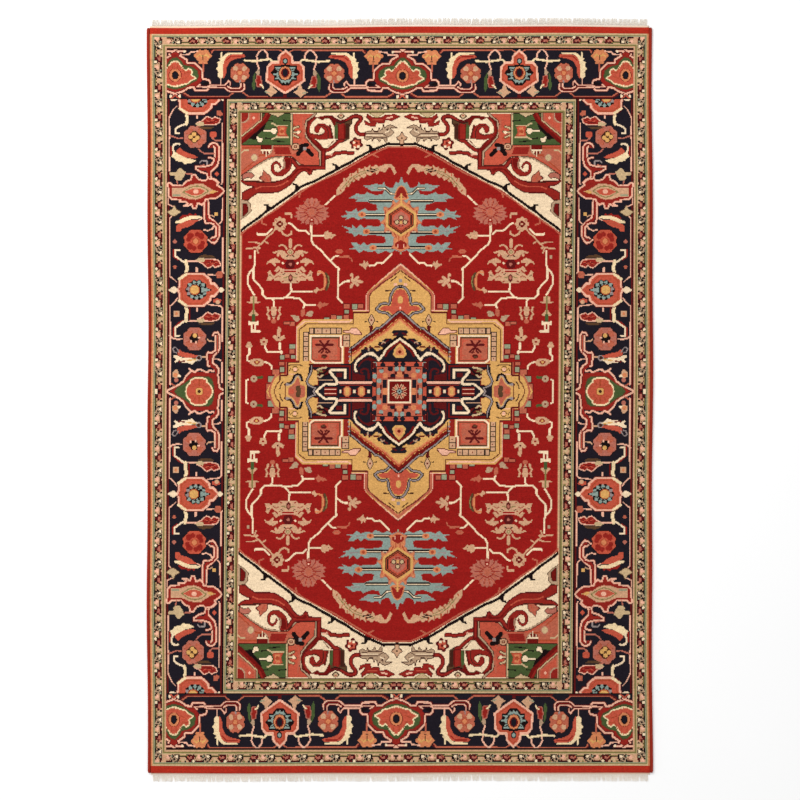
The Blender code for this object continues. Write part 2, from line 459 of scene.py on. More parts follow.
# The recipes of the field motifs, in knots from the middle of the rug.  See Pen.draw.
FIELD_SIDE_LINES = """
line SALMON 1.4 188.6,0 188.6,187
boxes STRAW 189,0,190,190
"""
CORNER_LINES = """
lines SALMON 1.8 31,286 33,283 28,280.5 ; 120,236 121,232 ; 165,205 165.5,200 160,198
line BLACK 3 0,296 16,297 22,294.5 28,292 38,288 44,284.5 54,279 60,274.5 72,268.5 80,263.5 90,258.5
  103,251 115,246.5 120,243.5 130,235 143,226 153,218.5 158,216 168,207 181,198 190,191
"""
VINES = """
lines IVORY 2.1 10.5,164 17,157 22,152.5 28,153 31,150 37,149.5 ; 106.5,199 106.5,190 106,180 104,175
  95,168 84,155.5 77,149 73.5,146.5 74,125 74.5,112 73,109.5 68.5,106 ; 74,161.5 78,160.5 83.5,155.5 ;
  74,125 68,130 64,131.5 60.5,131.5 ; 91.5,185.3 104,185.3 ; 109,187 113,191 122,191.5 126,195 130,199
  133,200 ; 79,233 84.5,228 ; 86,226 90,222.5 ; 130,128.5 129.3,119.5 135,112.5 ; 104.5,119 129,119 ;
  101,103 113,103.5 120,111 133,112 150,110.5 159,110.8 163.5,115 163.5,121 168,127 174.5,134 174.5,146
  173,151 173,167 ; 113.5,103.5 115,99 ; 152,110.5 150,107 150,101.5 ; 174.5,146 178,143 181,138 181,128
  176,119 173.5,115.5 ; 140.5,45.5 140.5,47.5 157,47 160,52 160.5,56 ; 142.5,50.5 142.5,58 ; 152,27
  152,29.5 155,33 160,35.3 ; 153,193 160,186.5 170,186.5 170.5,188 ; 178.5,52 178.5,44 181,42 181,37
  178,35.5 ; 180,14 182,13 182,0
lines TAN 1.9 149,193 153,188 158,184 163,178 168,173.5 171,170.5 ; 162,179 157.5,176 ; 166,175 173,177.5
  180,177.5 ; 171,171 183,169.5 ; 171,170 169,165
"""
PALMETTE_HALF = """
shape TAN 131,183 129,180 128.6,176 129.4,171 131,170
line TAN 1.9 117.5,173 122,174.4 125.4,171.6 127,168.5
shape TAN 109.5,165.6 112,163.6 116,165.4 115,162 116.5,160 119,163.6 121,159 123.6,156.8 131,157 131,163
  127,163 124,167.4 117,167.8
shape MAROON 131,157 127.4,156.6 125,153 126,147 131,145.6
shape TAN 102.6,149.6 105,152.6 108.6,152.6 112,149.4 114.6,149 113.4,152.6 119.6,152.6 119,155.4
  113.6,159 108,157 104,154.6
shape TAN 112,143 114.4,146.6 117.4,149.6 119.6,147 124.6,145.4 124,142.4 118,141
shape TAN 131,142 120,141.4 115,141 111.6,137.6 109,141 107,144.6 104.4,141.4 105,138 103.4,132.4
  108.6,132.4 111,134.6 113,131.6 119,131.6 121.4,128.8 131,128.8
line PINK 1.3 124,144.6 131,144.6
lines FIELD 1 124,143.2 131,143.2 ; 113,135.6 117,137.4 120,136 ; 116,141.6 119,144.6 ; 121,153 124,157.6
  ; 121,130.4 124,131.6
lines BROWN .9 126,160 129,162 ; 106,139 109,137.4 ; 122,139 125,140.4
line OLIVE 1.2 123.6,135.4 129,136.4
petals IVORY 122.4,152.6 1.4
"""
PALMETTE_EYE = """
petals FIELD 131,165.8 4.6
petals TAN 131,165.8 3.7
petals OLIVE 131,165.8 2.3
petals STRAW 131,165.8 1.4
petals ROSE 130.6,151.4 2
petals MAROON 130.6,135 2.6 flat=1.9
petals ROSE 130.6,135.6 1.4 flat=1.7
"""
PEONY_HALF = """
shape ROSE 106,197 103,199.6 99,198 98,201 93,199 94.5,203 89,204 89.6,206.4 84.5,208 88.6,210.4 86,213
  90,215 86,219 91,219.4 91,222.5 96,221.5 97,225.6 101,230.6 103,228 106,232
"""
PEONY_HEART = """
petals SALMON 106,213.6 4.6 5 .4 10
petals RED 106,203.6 3 5 .3
petals PINK 106,204 1.1
"""
ROSETTE = """
lines TAN 2.2 130,190 130,187 135,185 140,187 142,192
petals TAN 143.7,199 9 8 .28
petals DEEP 143.7,199 4.2 4 .3
petals TAN 143.7,199 1.5
boxes TAN 130,210,138,212.6 129,206,131.4,211
line FIELD .9 137,193 140,196
line FIELD .9 147,202 150,206
"""
FEATHER = """
shape TAN 6,262 8.6,258.6 10,262 12,266.4 15,268.6 18,264 19.6,261.4 22,262.6 26,264 29,258.6 31,262
  34,260.6 37,257.6 40,259 45,254.6 47,257 51,251.6 53,254 57,249 59,251.4 63,242.6 65,247 68,239 72,235.6
  77,233 76.6,241 72,247.6 69,251 69,254.6 65,254.6 62,258 61,261.6 57,260.6 53,264.6 52,267.6 47,266
  44,269 41,267.6 38,271 34,268.4 31,271.6 27,269 20,272 12,271.6 8.6,268
lines RUST 1 36,270 38,265 ; 44,268.6 45,263.6 ; 52,266.6 52,261 ; 60,261 59,257 ; 67,254.6 65,251 ;
  34,261 37,263 ; 41,258.6 43,261.6 ; 48,256 51,259 ; 54,252.6 57,255.6 ; 61,247 63,251 ; 71,238 73,241
lines OLIVE 1 27,265.6 31,267 ; 40,264.6 50,261.6 60,254.6 70,242.6 ; 42,262 54,256 66,244
lines BLACK 1.5 30,264.6 36,266 ; 32,262.6 40,264
line FIELD 1.4 11,262 13,265 16,266
"""
LOWER_FLOWERS = """
shape TAN 37,150.6 39.6,155 41.6,153 43.6,156.6 44.6,152.6 50.5,151 45.6,149 41,144.6 40.4,148.6
lines TAN 3.4 56,132 46,130.6 ; 56,132 50.6,136 ; 57,132 58,139 ; 56,131 51,127 ; 56,131 58.4,124.6
line FIELD 1 57,128 60,133 58,137
shape TAN 76.5,185.6 79,187.4 82,187 82,189.6 85,188.6 87,191.4 90,189.6 91.6,186.6 91,182.4 88,180.4
  85,182 82,181 80,184
petals UMBER 82.6,184.4 .9
petals SALMON 73,166.5 4.8 flat=.5
petals CORAL 73,166.5 2 flat=.4
line SALMON 1.5 57.5,154.5 58.5,158 63,160.5 72,160
line SALMON 3 62,160.4 67,160.2
line UMBER 3.6 87.6,122 85.6,128 85.6,135 88.6,140
line OLIVE 1.2 86,124 84.6,130 86,138
line TAN 3 98,139 97.6,142 93.6,142
line ORANGE 2.2 98,142 94,142.5 91,140 89.6,135 89.6,126 91.4,122 96,121
shape TAN 96,121 99,125 100.6,122 103,121 103,118.4 100,116.6 98,119.4
shape SALMON 85,104.6 89,105.6 93,105.4 96,107.8 97.4,104 99.4,102 96.6,100.6 95.6,97.6 92,101 87,102.4
shape SALMON 113,98 115.5,99.5 118.5,96 117.5,90 115.5,88.5 113,92
shape BUFF 103,95 107,96.6 111,93.5 112,90.5 107,88.5 104,90.5
shape BUFF 119,85 120,89.5 124,90.5 131,91.5 127.5,87.5 123,82.5
"""
LEAF_PAIR = """
shape TAN 150,101 147,100.6 146.4,97 147,92 150,84.6
shape TAN 141,101.6 143.6,101 145,96 143.4,92.6 145.6,89 146,84.6 142.6,86 143,90 140.6,91 142.6,95.6
line MAROON 1 146,92 148,90 150,89.6
"""
SIDE_FLOWERS = """
petals SALMON 150,83.5 2.8
shape TAN 141,74 142.5,65 137.5,67.5 136.5,63.5 142.5,59.5 147,60.5 151,65 149,67.5 146,65.5 146,73
  144.5,77.5
petals MAROON 143.7,64 1.2
petals TAN 161.5,59 5 5 .3 18
petals RED 161.5,59 1.2
petals TAN 168,170.5 1.6
petals BUFF 178.5,160 2
"""
COLUMN_HEADS = """
shape TAN 174,111 172.6,113.6 170,113 170,107.6 166,106.6 168,105.4 174,105.4
shape TAN 173,98 171.6,94.6 168,91.6 170,90 174,91
shape IVORY 174,84.5 171.5,83 168,84.5 168,79.5 171,78.5 171.3,70 174,69.5
"""
COLUMN_STEM = """
line OLIVE 1.8 174,113 174,93
boxes GREEN 172.2,83.5,176,92
boxes FIELD 173.2,74,175,80
line IVORY 2 166.5,71.5 172,71.5
petals TAN 179,55 4.2 3 .3 90
shape TAN 161,35.5 165,38.8 171,39.5 177.5,37.5 178,33.5 173,30.5 166,29.5 162,31.5
petals RED 169.5,34.7 4 4 .4 flat=.7
petals GOLD 169.5,34.7 1.4
line GREEN 3 163.5,17 169.5,16.3
petals BUFF 173,15 4.4 4 .25
petals DEEP 173,15 1.5
"""
CLOUD_OUTLINE = """
shape BLUE 0,257 1.8,252 3,248.6 6.4,250.4 8.4,246 10,242.6 14,243 19,245.6 20.6,250 23,246.4 30,248
  36,246.4 46,246 40,242.5 36,239.5 28,239 20,240 22,235.5 30,234 37,236 41,238 44,234.5 53,236 62,230.5
  52,229 55,226 46,225.5 42,226.5 34,223.5 30,223.5 28,216.5 33,214.5 40,215.5 43,218 52,213.5 53,218
  60,213.5 66,215 64,210.5 73,208 64,206.5 66,204 57,207.5 51,203.5 44,206.5 40,204.5 28,205 25,203.5
  24,197 30,195.5 38,197.5 44,194 48,198.5 53,193.5 58,199 58,194 71,197 61,191 66,189 58,188 55,183.5
  50,187 44,184.5 36,186.5 26,185 19,184 18,177 24,175.5 34,176.5 40,173.5 44,178 48,173.5 54,177.5
  59,176.5 55,171 61,169.5 53,168.5 49,164.5 44,168 38,165.5 30,167 27,163.5 18,167.5 12,164.5 7,168 0,165
"""
LANTERN_FLAME = """
shape ORANGE -1,229 3,226.5 6,223 8,225 9.5,227.6 10.5,222 13,217.5 17,218.6 20,218.8 19.4,213 18,209
  20,203.6 24.4,200.6 20,199 18.4,195 19.4,190 15,192 10,189 9.6,185 7,183.6 8.6,179 8,174 10.4,171
  6,169.4 -1,166.4 /ROSE:.9
lines RUST 1.1 9,222.6 15,216.6 ; 18.4,215 17,204 ; 20,201 18,196 ; 8,188.6 5.4,183 ; 3,186 2.6,180
line GOLD 2.6 -1,224 16.4,211.6 16.4,196.4 -1,184.4
shape BROWN -1,221 15.4,210.6 15.4,197.4 -1,186.4
line RUST 1 -1,219.4 13.6,209.6 13.6,198.4 -1,188.4
shape CORAL -1,217.6 11.4,209.4 11.4,198.6 -1,190
shape ROSE -1,215 8,209 9.4,204 8,198.6 -1,194
"""
LANTERN_EYE = """
petals GOLD 0,200.6 2.2 4 .4
petals DEEP 8,202 1.2
petals RED 1.6,196.8 1.6 flat=.6
shape RED -1,180.6 2.4,178.8 6.4,176.6 7.4,172.4 4.6,172 3.4,169.6 -1,168
line PINK 1.5 3.6,174.4 3.6,171.4
shape RED -1,245.4 2.6,243 5.4,238.4 7.4,230.6 4,229.4 -1,230 /ORANGE:1.4
shape ORANGE -1,236.4 2,233 6,230.6 4,228.6 -1,228
line GOLD 1.6 0,235 0,226
petals BROWN 2,231.6 .9
line SAGE 1.4 0,166 0,163
"""


class FieldDesign:
    """The red field: vines, palmettes, flowers and the blue cloud at each end."""

    def draw(self, pen: Pen) -> None:
        """Draw everything on the red ground.

        Args:
            pen: A pen that keeps to the field.
        """
        self.edges(pen)
        pen.draw(VINES)
        self.palmette(pen)
        self.peony(pen)
        pen.draw(ROSETTE)
        pen.draw(FEATHER)
        self.small_flowers(pen)
        self.side_column(pen)
        self.cloud(pen)

    def edges(self, pen: Pen) -> None:
        """Draw the salmon line at the field's side and the lines along the ivory corners."""
        pen.draw(FIELD_SIDE_LINES)
        low = (
            "0,293 17,292.5 28,287.5 36,283.5 48,277 62,268.5 75,261 95,252 110,244 120,237 "
            "135,227 148,216.5 160,209 172,199.5 180,195 190,186"
        )
        pen.line(Y.SALMON, 1.7, low)
        pen.draw(CORNER_LINES)

    def palmette(self, pen: Pen) -> None:
        """Draw the large tan palmette."""
        for p in pen.both(131):
            p.draw(PALMETTE_HALF)
        pen.draw(PALMETTE_EYE)

    def peony(self, pen: Pen) -> None:
        """Draw the salmon peony beside the cloud."""
        for p in pen.both(106):
            p.draw(PEONY_HALF)
            for k in range(7):
                turn = math.radians(-80 + 26 * k)
                tip = (106 - 15 * math.cos(turn), 213 + 14 * math.sin(turn))
                root = (106 - 5.5 * math.cos(turn), 213 + 6 * math.sin(turn))
                p.line(Y.RED, 1.0, [root, tip])
                p.line(Y.SALMON, 1.2, [(root[0], root[1] + 2), (tip[0], tip[1] + 3)])
            p.lines(Y.RED, 0.9, "106,220 100,217 97,212", "106,206.6 101,209 99,213")
        pen.draw(PEONY_HEART)

    def small_flowers(self, pen: Pen) -> None:
        """Draw the small flowers between the vines."""
        pen.draw(LOWER_FLOWERS)
        for p in pen.both(150):
            p.draw(LEAF_PAIR)
        pen.draw(SIDE_FLOWERS)

    def side_column(self, pen: Pen) -> None:
        """Draw the flowers that climb the field's side."""
        for p in pen.both(174):
            p.draw(COLUMN_HEADS)
        pen.draw(COLUMN_STEM)

    def cloud(self, pen: Pen) -> None:
        """Draw half of the blue-grey cloud with its stepped gold eye."""
        pen.draw(CLOUD_OUTLINE)
        for start, stop, level in ((10, 30, 170.7), (9, 37, 189.2), (20, 42, 210.2),
                                   (12, 37, 227.2)):
            pen.line(Y.IVORY, 1.3, [(start, level), (stop, level)], Y.BLACK, 1.2)
        pen.line(Y.IVORY, 1.3, "8,235.5 13,236 19,242 27,242.5", Y.BLACK, 1.0)
        for s, w in ((33, 170.7), (41, 190), (46.5, 210.5)):
            pen.petals(Y.ORANGE, s, w, 4.4, flat=0.75)
            pen.petals(Y.RUST, s, w, 1.7)
        for s, w in ((52, 190.5), (58, 211), (49, 230.5), (45, 170.5), (37, 243)):
            pen.line(Y.LAVENDER, 1.2, [(s - 4, w), (s + 5, w + 0.6)])
        self.lantern(pen)

    def lantern(self, pen: Pen) -> None:
        """Draw half of the flaming gold lantern in the middle of the cloud."""
        pen.draw(LANTERN_FLAME)
        for s, w in ((0, 206.6), (4.8, 201.4)):
            pen.petals(Y.STRAW, s, w, 2.2, rim=Y.BROWN, width=1.0)
        pen.draw(LANTERN_EYE)


# The recipes of the medallion motifs, in knots from the middle of the rug.  See Pen.draw.
MEDALLION_BAND = """
line UMBER 3 0,153.5 12,144.5 22,136.5 32,128.5 39,122 42,117 42,97
line PINK 1.6 0,151.5 12,142 22,134 32,126 38.5,120 40.5,115.5 40.5,97
line SALMON 3.4 0,148 10,139.5 20,131 30,123 35.5,118.5 38.6,114 38.6,96
line MAROON 1.3 0,144 10,136.5 22,129 30,122 34,118 36.3,114 36.3,95
lines PINK 1.7 38,96.5 57.5,96.5 58.3,84 61,83 113,83.5 122.5,75.5 122.8,36 ; 123,20.5 134,20.5
lines SALMON 2.4 134.8,36 120,36 ; 135.6,38 135.6,20 ; 143,20 148,18 152,10 154.5,0
lines MAROON 1.1 37,94 55.5,94 55.5,81 60,80.5 110,80.7 119.7,73.5 119.7,35 133,35 133,19 142,19 142,13
  146,8 148,3 149,0
line BLACK 1.3 126,78 126,35
"""
OUTSIDE_BRICKS = """
boxes SALMON 44,99,50,104.5 60,99.5,67.5,104 61,86,67.5,91 76.5,86,82,91 125,78.5,131,83 131,80,138,83
  125,45,131,50 131,40,136,44 137,31,143,35 143,20,151,26 150,0,158,9 /MAROON:.7
boxes SAGE 51.5,98,57.5,104 61,93,66.5,97.5 69.5,86,75,90.5 84,85,90,88 124.5,51,131,56.5 124,39.5,129,43
  137,38,142,43 137,23,142,29 148,11.5,156,18 /MAROON:.7
"""
TAN_BLOCKS = """
boxes TAN 60,61,67,67 60,53.5,67,60 70,68.7,75,75 76.5,68.7,82,75 83.5,68.7,92,75 93.5,68.7,101.5,75
  103,68.7,107.5,75 109,66,114,70.5 109,60.5,114,65 109,54.5,114,59.5 109,48.5,114,53.5 109,42.5,114,47.5
  109,36.5,114,41.5 /BLACK:.75
dots DEEP 1 72.5,72 87.5,72 97.5,72 111.5,62.5 111.5,51 111.5,39 63.5,64 63.5,56.5
"""
UPPER_ARM_VINE = """
line LAVENDER 1.7 0,125.5 5,124 8,121 11,115.5 12,111 12.5,106 14,104 19,105.5 24,103.5 28.5,98 25,95
  20,94 16,93.5 12,90 11,88 /BLACK:1
shape CORAL 0,122 5,120.5 9,114.5 10,108 11,102 17,102.5 22,101 25,98 20,96.5 14,96 9,91.5 8,88 0,87
line LAVENDER 1.6 0,96 10,88 17,81 24,75.5 28,75 31,71.5 36,68 43,63 50,57 55,53 60,50 /BLACK:1
"""
UPPER_ARM_FLOWERS = """
shape GOLD 0,114 3,112 3,106 0,104.5
petals CORAL 0,99.5 3.4 4 .3
petals PINK 0,99.5 1.3
petals LAVENDER 0,132 2.6
petals PINK 6,127.5 2
line BROWN 1.4 12,120.3 17.5,120
line BROWN 1.2 4,137 8,134 12,131
shape TAN 34,91.5 30.5,85 34,78.5 37.5,85 /BLACK:1
petals DEEP 34,85 1.3
lines BLACK 1.3 26,83 28.5,83.5 ; 39.5,83.5 42,83
shape MAROON 32,78 37,78 35.5,71 33,71
shape PINK 45.5,68.3 48.5,71.5 50.5,74 53,75.4 58,74.6 60,72.3 67,71.8 67,70.8 58,69.5 54,68.2 /MAROON:1
"""
SIDE_ARM = """
petals BROWN 124,26.3 3.8
petals GOLD 124,26.3 2.9
petals PINK 124,26.3 2
line BLACK 2.6 115.5,13 117,19 121,20.5 124.5,19 127,13 129,10.5 134,9 136,8
line LAVENDER 1.2 117,13 118.5,17 121,18.6 123.3,17.5 125.5,12.5 128,9 133,7
shape SALMON 119,14 121,16.5 123,13 126,8 132,4 132,0 112,0 112,6 118,8
petals LAVENDER 133.6,8.2 2.6 flat=.7
line MAROON 1.4 135.6,9 135.6,0
shape UMBER 118,7 122,7 123.5,3 122,0 117,0
petals CORAL 128,0 3
lines BROWN 1.2 138,12 141,8 142,3 ; 129,28 131,24
"""
BOX_PANEL = """
lines BLACK 1.4 57.2,33 57.2,52 ; 58,29 107,29
boxes RED 60.5,30,66.3,53
dots LAVENDER 1.4 59.5,47 59.5,41.5 60,36
line MAROON 2.4 58,31.6 107,31.6
boxes CORAL 68,34.5,107,66.5
shape SALMON 74,44 80,42 98,44 102,52 97,60 84,62 75,58
line IVORY 2 68.2,34 68.2,53 70.2,53.5 70.2,66.2 106.3,66.2 106.3,38 103,35 101,34.3 67.5,34.3
line UMBER 1 70.3,36.5 70.3,52 72.3,53 72.3,64 104.3,64 104.3,39 101,36.5 70.3,36.5
boxes SALMON 74,60.6,84,63 95,60.6,103,63 74,38,84,42 97,39,103,50
"""
BOX_VEINS = """
lines MAROON 2.3 90,53.5 85,55.5 79.5,55.5 ; 89.6,54 87,57 84.5,60.3 ; 90,52 86,50 83.5,47 ; 88,50 88,47.5
  86,46
line ROSE 1 75,52 79,50
"""
BOX_FLOWERS = """
petals MAROON 89.6,41.8 3.4 flat=.8
line UMBER 1.2 88,41 91.4,41
petals SALMON 89,47.6 1.2
"""
CORE = """
lines MAROON 1.8 3,69.6 8,66.6 ; 14,61 22,55.6 ; 24,52.6 30,52.6 ; 33,52.6 40,50.6 ; 46,45 52,38.6
lines BUFF 1.5 17.6,58 20,59 21.6,56.6 ; 23,48.6 25,50.6 ; 37,51.6 37,48.6
shape NAVY 0,60 57,34 72,28 72,0 0,0
shape NAVY 56,29 108,29 110,0 56,0
line BLACK 5 0,64 5,61 10,57.5 14,54.5 18,50 21,45 22,42 soft
line DEEP 2.6 0,58.5 4.5,56 9,52.5 13,49 15.5,45.5 16.8,42
shape MAROON 19,37 24,33 30,38 36,41 45,37 49,31 50,22 40,13 34,13 33,35
shape NAVY 33,13 34,36 40,37.5 46,33 49,28 49,18 44,13
line IVORY 2.6 0,62.5 5,59 10,55.5 14,52 17,49 18.5,46 19.5,43.5 22,42 soft
line IVORY 2.6 21,42.5 24.8,37 27,41 29.5,43 32,44.5 35,45.5 38.5,45 41,43.5 45,40.5 49,37.5 51.5,34.5
  53,31 53,28 52.5,25.5 51.5,24
shape IVORY 29,42 30,46 32,47.5 35,46.5 37,43
shape GOLD 0,57 4,54 7,49 8,44 5,40.5 0,40
shape ORANGE 0,53.5 3,51 5,47 5,43.5 0,42.5
petals DEEP 0,47 2
line MAROON 2.2 36.5,15 36.5,22 38,26 42,27.5 45.5,25.5 46,23 44,21.5
shape MAROON 41,13 56,13 57.5,20 57.5,33 55.3,33 55,22 41,19
boxes NAVY 56,13.5,70,33
line DEEP 2.2 59,14.5 59,30 104,30
"""
CHECKERED_MIDDLE = """
boxes CORAL 0,0,32.2,34.8
boxes SALMON 0,0,27,29
line BLACK 1 0,35.4 32.8,35.4 32.8,0
line BROWN 1 0,29.3 27.3,29.3 27.3,0
dots BLUE 2.9 3.5,27 21.5,24.5 24.2,12.5 24.5,1 29.7,32 12,32 29.7,18
dots NAVY 3 11,27 8,18 17.5,9 29.7,25 20,31.8 4,32.2 29.7,8
boxes NAVY 15,4,20,14
dots ORANGE 3.4 17,19 1,20 16.5,1
boxes MAROON 5,15,14,17 9,4.6,13,12 19,26,26,28 3,20,6,24 27.6,28,32,34 21,2.4,23,8
boxes CORAL 20,16,26,21 9,30,16,34.6 28.6,12,32,15 21,26.6,26,29
boxes DEEP 0,0,12.6,12.6
line IVORY 2.2 0,13 13,13 13,0
petals TAN 0,0 9.4 8 .2 22.5
"""
PINK_BAR = """
petals BLUE 0,0 3 4 .3 /MAROON
petals NAVY 0,0 1.2
line PINK 2.3 33,10.6 72,10.6 /BLACK:.8
boxes NAVY 33.6,0,72,8
line RED 1.4 34,7.6 70,7.6
"""
SIDE_HOOKS = """
dots IVORY 1.4 36.6,.8 53.5,.6 70,.8
shape GOLD 97,24 103.5,26 105.5,20 108,14.5 108.5,9 104,7.2 97,8 /DEEP:.9
shape MAROON 83,26.5 98,26.5 98,15 84,19
lines BLACK 1.6 86,25 90,21 96,21 ; 84,20 90,18
lines STRAW 2 87,28.6 93,27.4 98,25.6 ; 91,19.6 94,16.6 97,18
line OLIVE 1.6 92,23.6 96,24.6 97,22
line TAN 1.8 80,13.6 96.5,13.6
boxes MAROON 68,17.5,75.5,22.5
line IVORY 3 64.3,18 64,25.6 80,25.8 83,24 80,20 75,14 74,10 76,8.4
petals IVORY 64.6,16.6 1.9
line IVORY 2.5 76,8.6 88,8.8 92,6 97,2 99,-1
boxes DEEP 74,0,89,5.5
line PINK 1.4 76,2.6 88,2.6
line LAVENDER 1.6 104.5,30.5 104.5,25 106.5,20 109,15 110,12 109,9 106.5,6.5 100,4 102,0 /BLACK:1
"""


class MedallionDesign:
    """The stepped gold medallion with its navy core."""

    def draw(self, pen: Pen) -> None:
        """Draw the medallion from its edge inwards.

        Args:
            pen: A pen that keeps to the medallion.
        """
        pen.box(Y.GOLD, 0, 0, 160, 160)
        self.band(pen)
        pen.draw(TAN_BLOCKS)
        self.arms(pen)
        self.corner_box(pen)
        self.core(pen)
        self.centre(pen)

    def band(self, pen: Pen) -> None:
        """Draw the salmon band and its lines round the edge."""
        pen.draw(MEDALLION_BAND)
        for x, y in ((18, 140), (31, 130.5), (38, 123.5)):
            pen.petals(Y.OLIVE, x, y, 2.2)

    def outside(self, pen: Pen) -> None:
        """Draw the small blocks that stand along the outside of the band, on the field."""
        pen.draw(OUTSIDE_BRICKS)

    def arms(self, pen: Pen) -> None:
        """Draw the arabesques in the gold upper arm and side arm."""
        for p in pen.both(0):
            p.draw(UPPER_ARM_VINE)
        pen.draw(UPPER_ARM_FLOWERS)
        low = "0,95.5 10,87.5 17,81 24,75.5 28,75 31,71.5 36,68 43,63 50,57 55,53 60,50"
        core = read_points(low)[::-1] - (0, 2.6)
        pen.line(Y.DEEP, 3.6, core - (0, 1.4))
        pen.line(Y.RUST, 1.6, core - (1.2, 4.2))
        pen.line(Y.ORANGE, 2.2, core - (1.9, 6.0))
        pen.dots(Y.CORAL, 1.5, "8,79 16,73 25,67 33,61 41,56 49,49")
        for p in pen.both(124):
            p.line(Y.BROWN, 1.2, "115,30 119,31.5 124,31.8")
        pen.draw(SIDE_ARM)

    def corner_box(self, pen: Pen) -> None:
        """Draw the ivory-framed salmon box."""
        pen.draw(BOX_PANEL)
        for p in pen.both(89.6):
            p.draw(BOX_VEINS)
        pen.draw(BOX_FLOWERS)

    def core(self, pen: Pen) -> None:
        """Draw the navy core inside its spiky dark edge and ivory vine."""
        spikes = (
            "0,73 8,72.5 10,70 7,67 4,65.5 9,62 13,63.5 17,63 22,60 20,58.5 25,59 26,55 22,53 "
            "20,51 22,48 25,46 29,49.5 32,52 36,55.5 37,51 41,53.5 43,50 45.5,50 46,46 50,42 "
            "54,39 57,34 57.5,24 52,12 0,12"
        )
        pen.shape(Y.NAVY, spikes, Y.GOLD, 1.4)
        pen.draw(CORE)

    def centre(self, pen: Pen) -> None:
        """Draw the checkered middle, its pink bar and the ivory hooks of the side."""
        pen.draw(CHECKERED_MIDDLE)
        for k in range(8):
            turn = math.radians(45 * k)
            x, y = math.cos(turn), math.sin(turn)
            pen.line(Y.MAROON, 1.1, [(2 * math.cos(turn + 0.39), 2 * math.sin(turn + 0.39)),
                                     (9.6 * math.cos(turn + 0.39), 9.6 * math.sin(turn + 0.39))])
            pen.petals(Y.CORAL if k % 2 else Y.RED, 6.4 * x, 6.4 * y, 1.3)
        pen.draw(PINK_BAR)
        for s, w in ((45, 2.0), (62, 2.0)):
            pen.petals(Y.ORANGE, s, w, 4.6, 4, 0.25, rim=Y.DEEP)
            pen.petals(Y.GOLD, s, w, 2.2)
        pen.draw(SIDE_HOOKS)
# The recipes of the corner motifs, in knots from the middle of the rug.  See Pen.draw.
RIBBON = """
shape RED 3,330.5 9,333 20,332 24,329.5 36,329.5 41,333 42,330 38.5,326.5 37,322.8 39.5,322 44,325.5
  43.5,321 38,319.2 32,319 30.5,323.5 26,323 21.5,323 20,327 17,327 13,325.5 9,327.5 /MAROON:.8
line PINK 1.8 12,330 18,328.6
line CORAL 1.3 24,326.5 34,326.5
shape STRAW 21,336 25,332.5 30,329.6 35,332.5 39,336 /OLIVE:.9
shape BUFF 6,316.5 10,318.6 14,320 18,318.6 21,316 22,320 23,314.5 26,313 27,316 28,312 34,312 35,315.5
  36,312 40,312.5 44.5,310.5 44,303.5 41,302 36,304.5 35,300.5 33.5,304 28,303 26.5,299.5 25,304 22,304
  18.5,299 17.5,305 14,307 9.5,311 13,314 15,317.5 11,317 /BROWN:.9
lines BROWN 1 17,306 23,309.6 43,309.6 ; 14,311 18,314.5 ; 19,304.5 42,305.2 ; 16,317 18,312 ; 28,311
  33,312
lines IVORY 1.4 23,307.6 42.5,307.6 ; 15,313 20,311
shape TAN -2,306 0,311 2,307 4,305.4 6,304.6 4,301.8 2,302.4 2,297 -2,297 /BROWN:.9
petals UMBER 0,304 1.1
"""
VASE = """
line MAROON 5 45,308.5 51,309 54,312 54.6,318 52.5,322 49,326 49,329.5 52,331 57,331 61,329 66,325.5
  73,323.5 80,326.5 84,329.5 91,330
line RED 2.8 46,308.5 51,309 54,312 54.6,318 52.5,322 49,326 49,329.5 52,331 57,331 61,329 66,325.5
shape UMBER 62.5,304 62.5,318 60,322 60,327 66,324 73,321.6 80,324.5 82,320 80.3,315.5 80,304 74,300.5
  68,300.5 /BLACK:.9
shape BROWN 63,304 63.4,318 61,322 67,322 67,303
shape GREEN 76,303 76.6,320 80,320 79.4,304.5
shape DEEP 67,303 67.6,323 74,321 76.4,322 76.4,303 71.5,300.6
shape RED 69.3,303 69,322 74.6,321 74.6,303
petals BROWN 72.5,331 4.4 flat=.8
petals STRAW 72.5,331.4 2.9 flat=.8
petals ROSE 72.5,332 1.2
lines RED 2.8 70,301 74,300.5 79,295.7 87,289.7 92,288 ; 58,285.6 68,286.2 78,285.7 83,282 91,279.6
  /MAROON:1.1
petals MAROON 54,297 8.2 6 .3 15
petals CORAL 54,297 5.2 6 .3 15
dots IVORY 1.5 51.5,293.5 56,292.5 57,298.5
petals DEEP 53.6,298 1.6
shape DEEP 90.6,267 96.5,266 96.5,291 90.6,290 /MAROON:.8
line RED 1.5 93,268 93,288
line PINK 2 83,283.4 88,284
"""
PANEL_SPIRAL = """
shape DEEP 78,326 84,330.5 91,331.5 97,330.8 103,329.5 104,334 108,329 113,323 114,312 111,302 105,295.5
  99,290 96,288 91,289 87,294 80,300 80,318
shape RED 104,328 108,326 111,320 111.6,312 108.5,305 104,299.5 99,294 103,301 108,309 109,318
shape IVORY 80.5,303 80.5,318 84,325 87,328 92,328.3 93,325.6 97,327 101,329 105,325 108.5,319.5
  109.5,311.5 105,309 98,308.4 93,310 91,315 85,322 /UMBER:.5
shape RED 84.5,303.5 83.8,312 87,318 93,321.8 99,321.4 103,317.8 103.4,313 101,310.8 98,311.6 98,316
  95,317.6 91.6,314.5 91.4,311.5 94,307.6 100,307 106,309 110,306 104,302.6 98,300.6 90,301.4 /MAROON:.7
line BROWN 1 87.5,305 87,311 89.6,317 94,319.5 99,319.4
shape IVORY 98,308.5 98,313 96.4,316 93,313.6 92.8,311
shape IVORY 76.5,302.5 82,300.5 86,295.5 89,291.6 93,292.4 98,299 104,303.4 98,301.4 90,302.2 84,303.4
  /UMBER:.5
"""
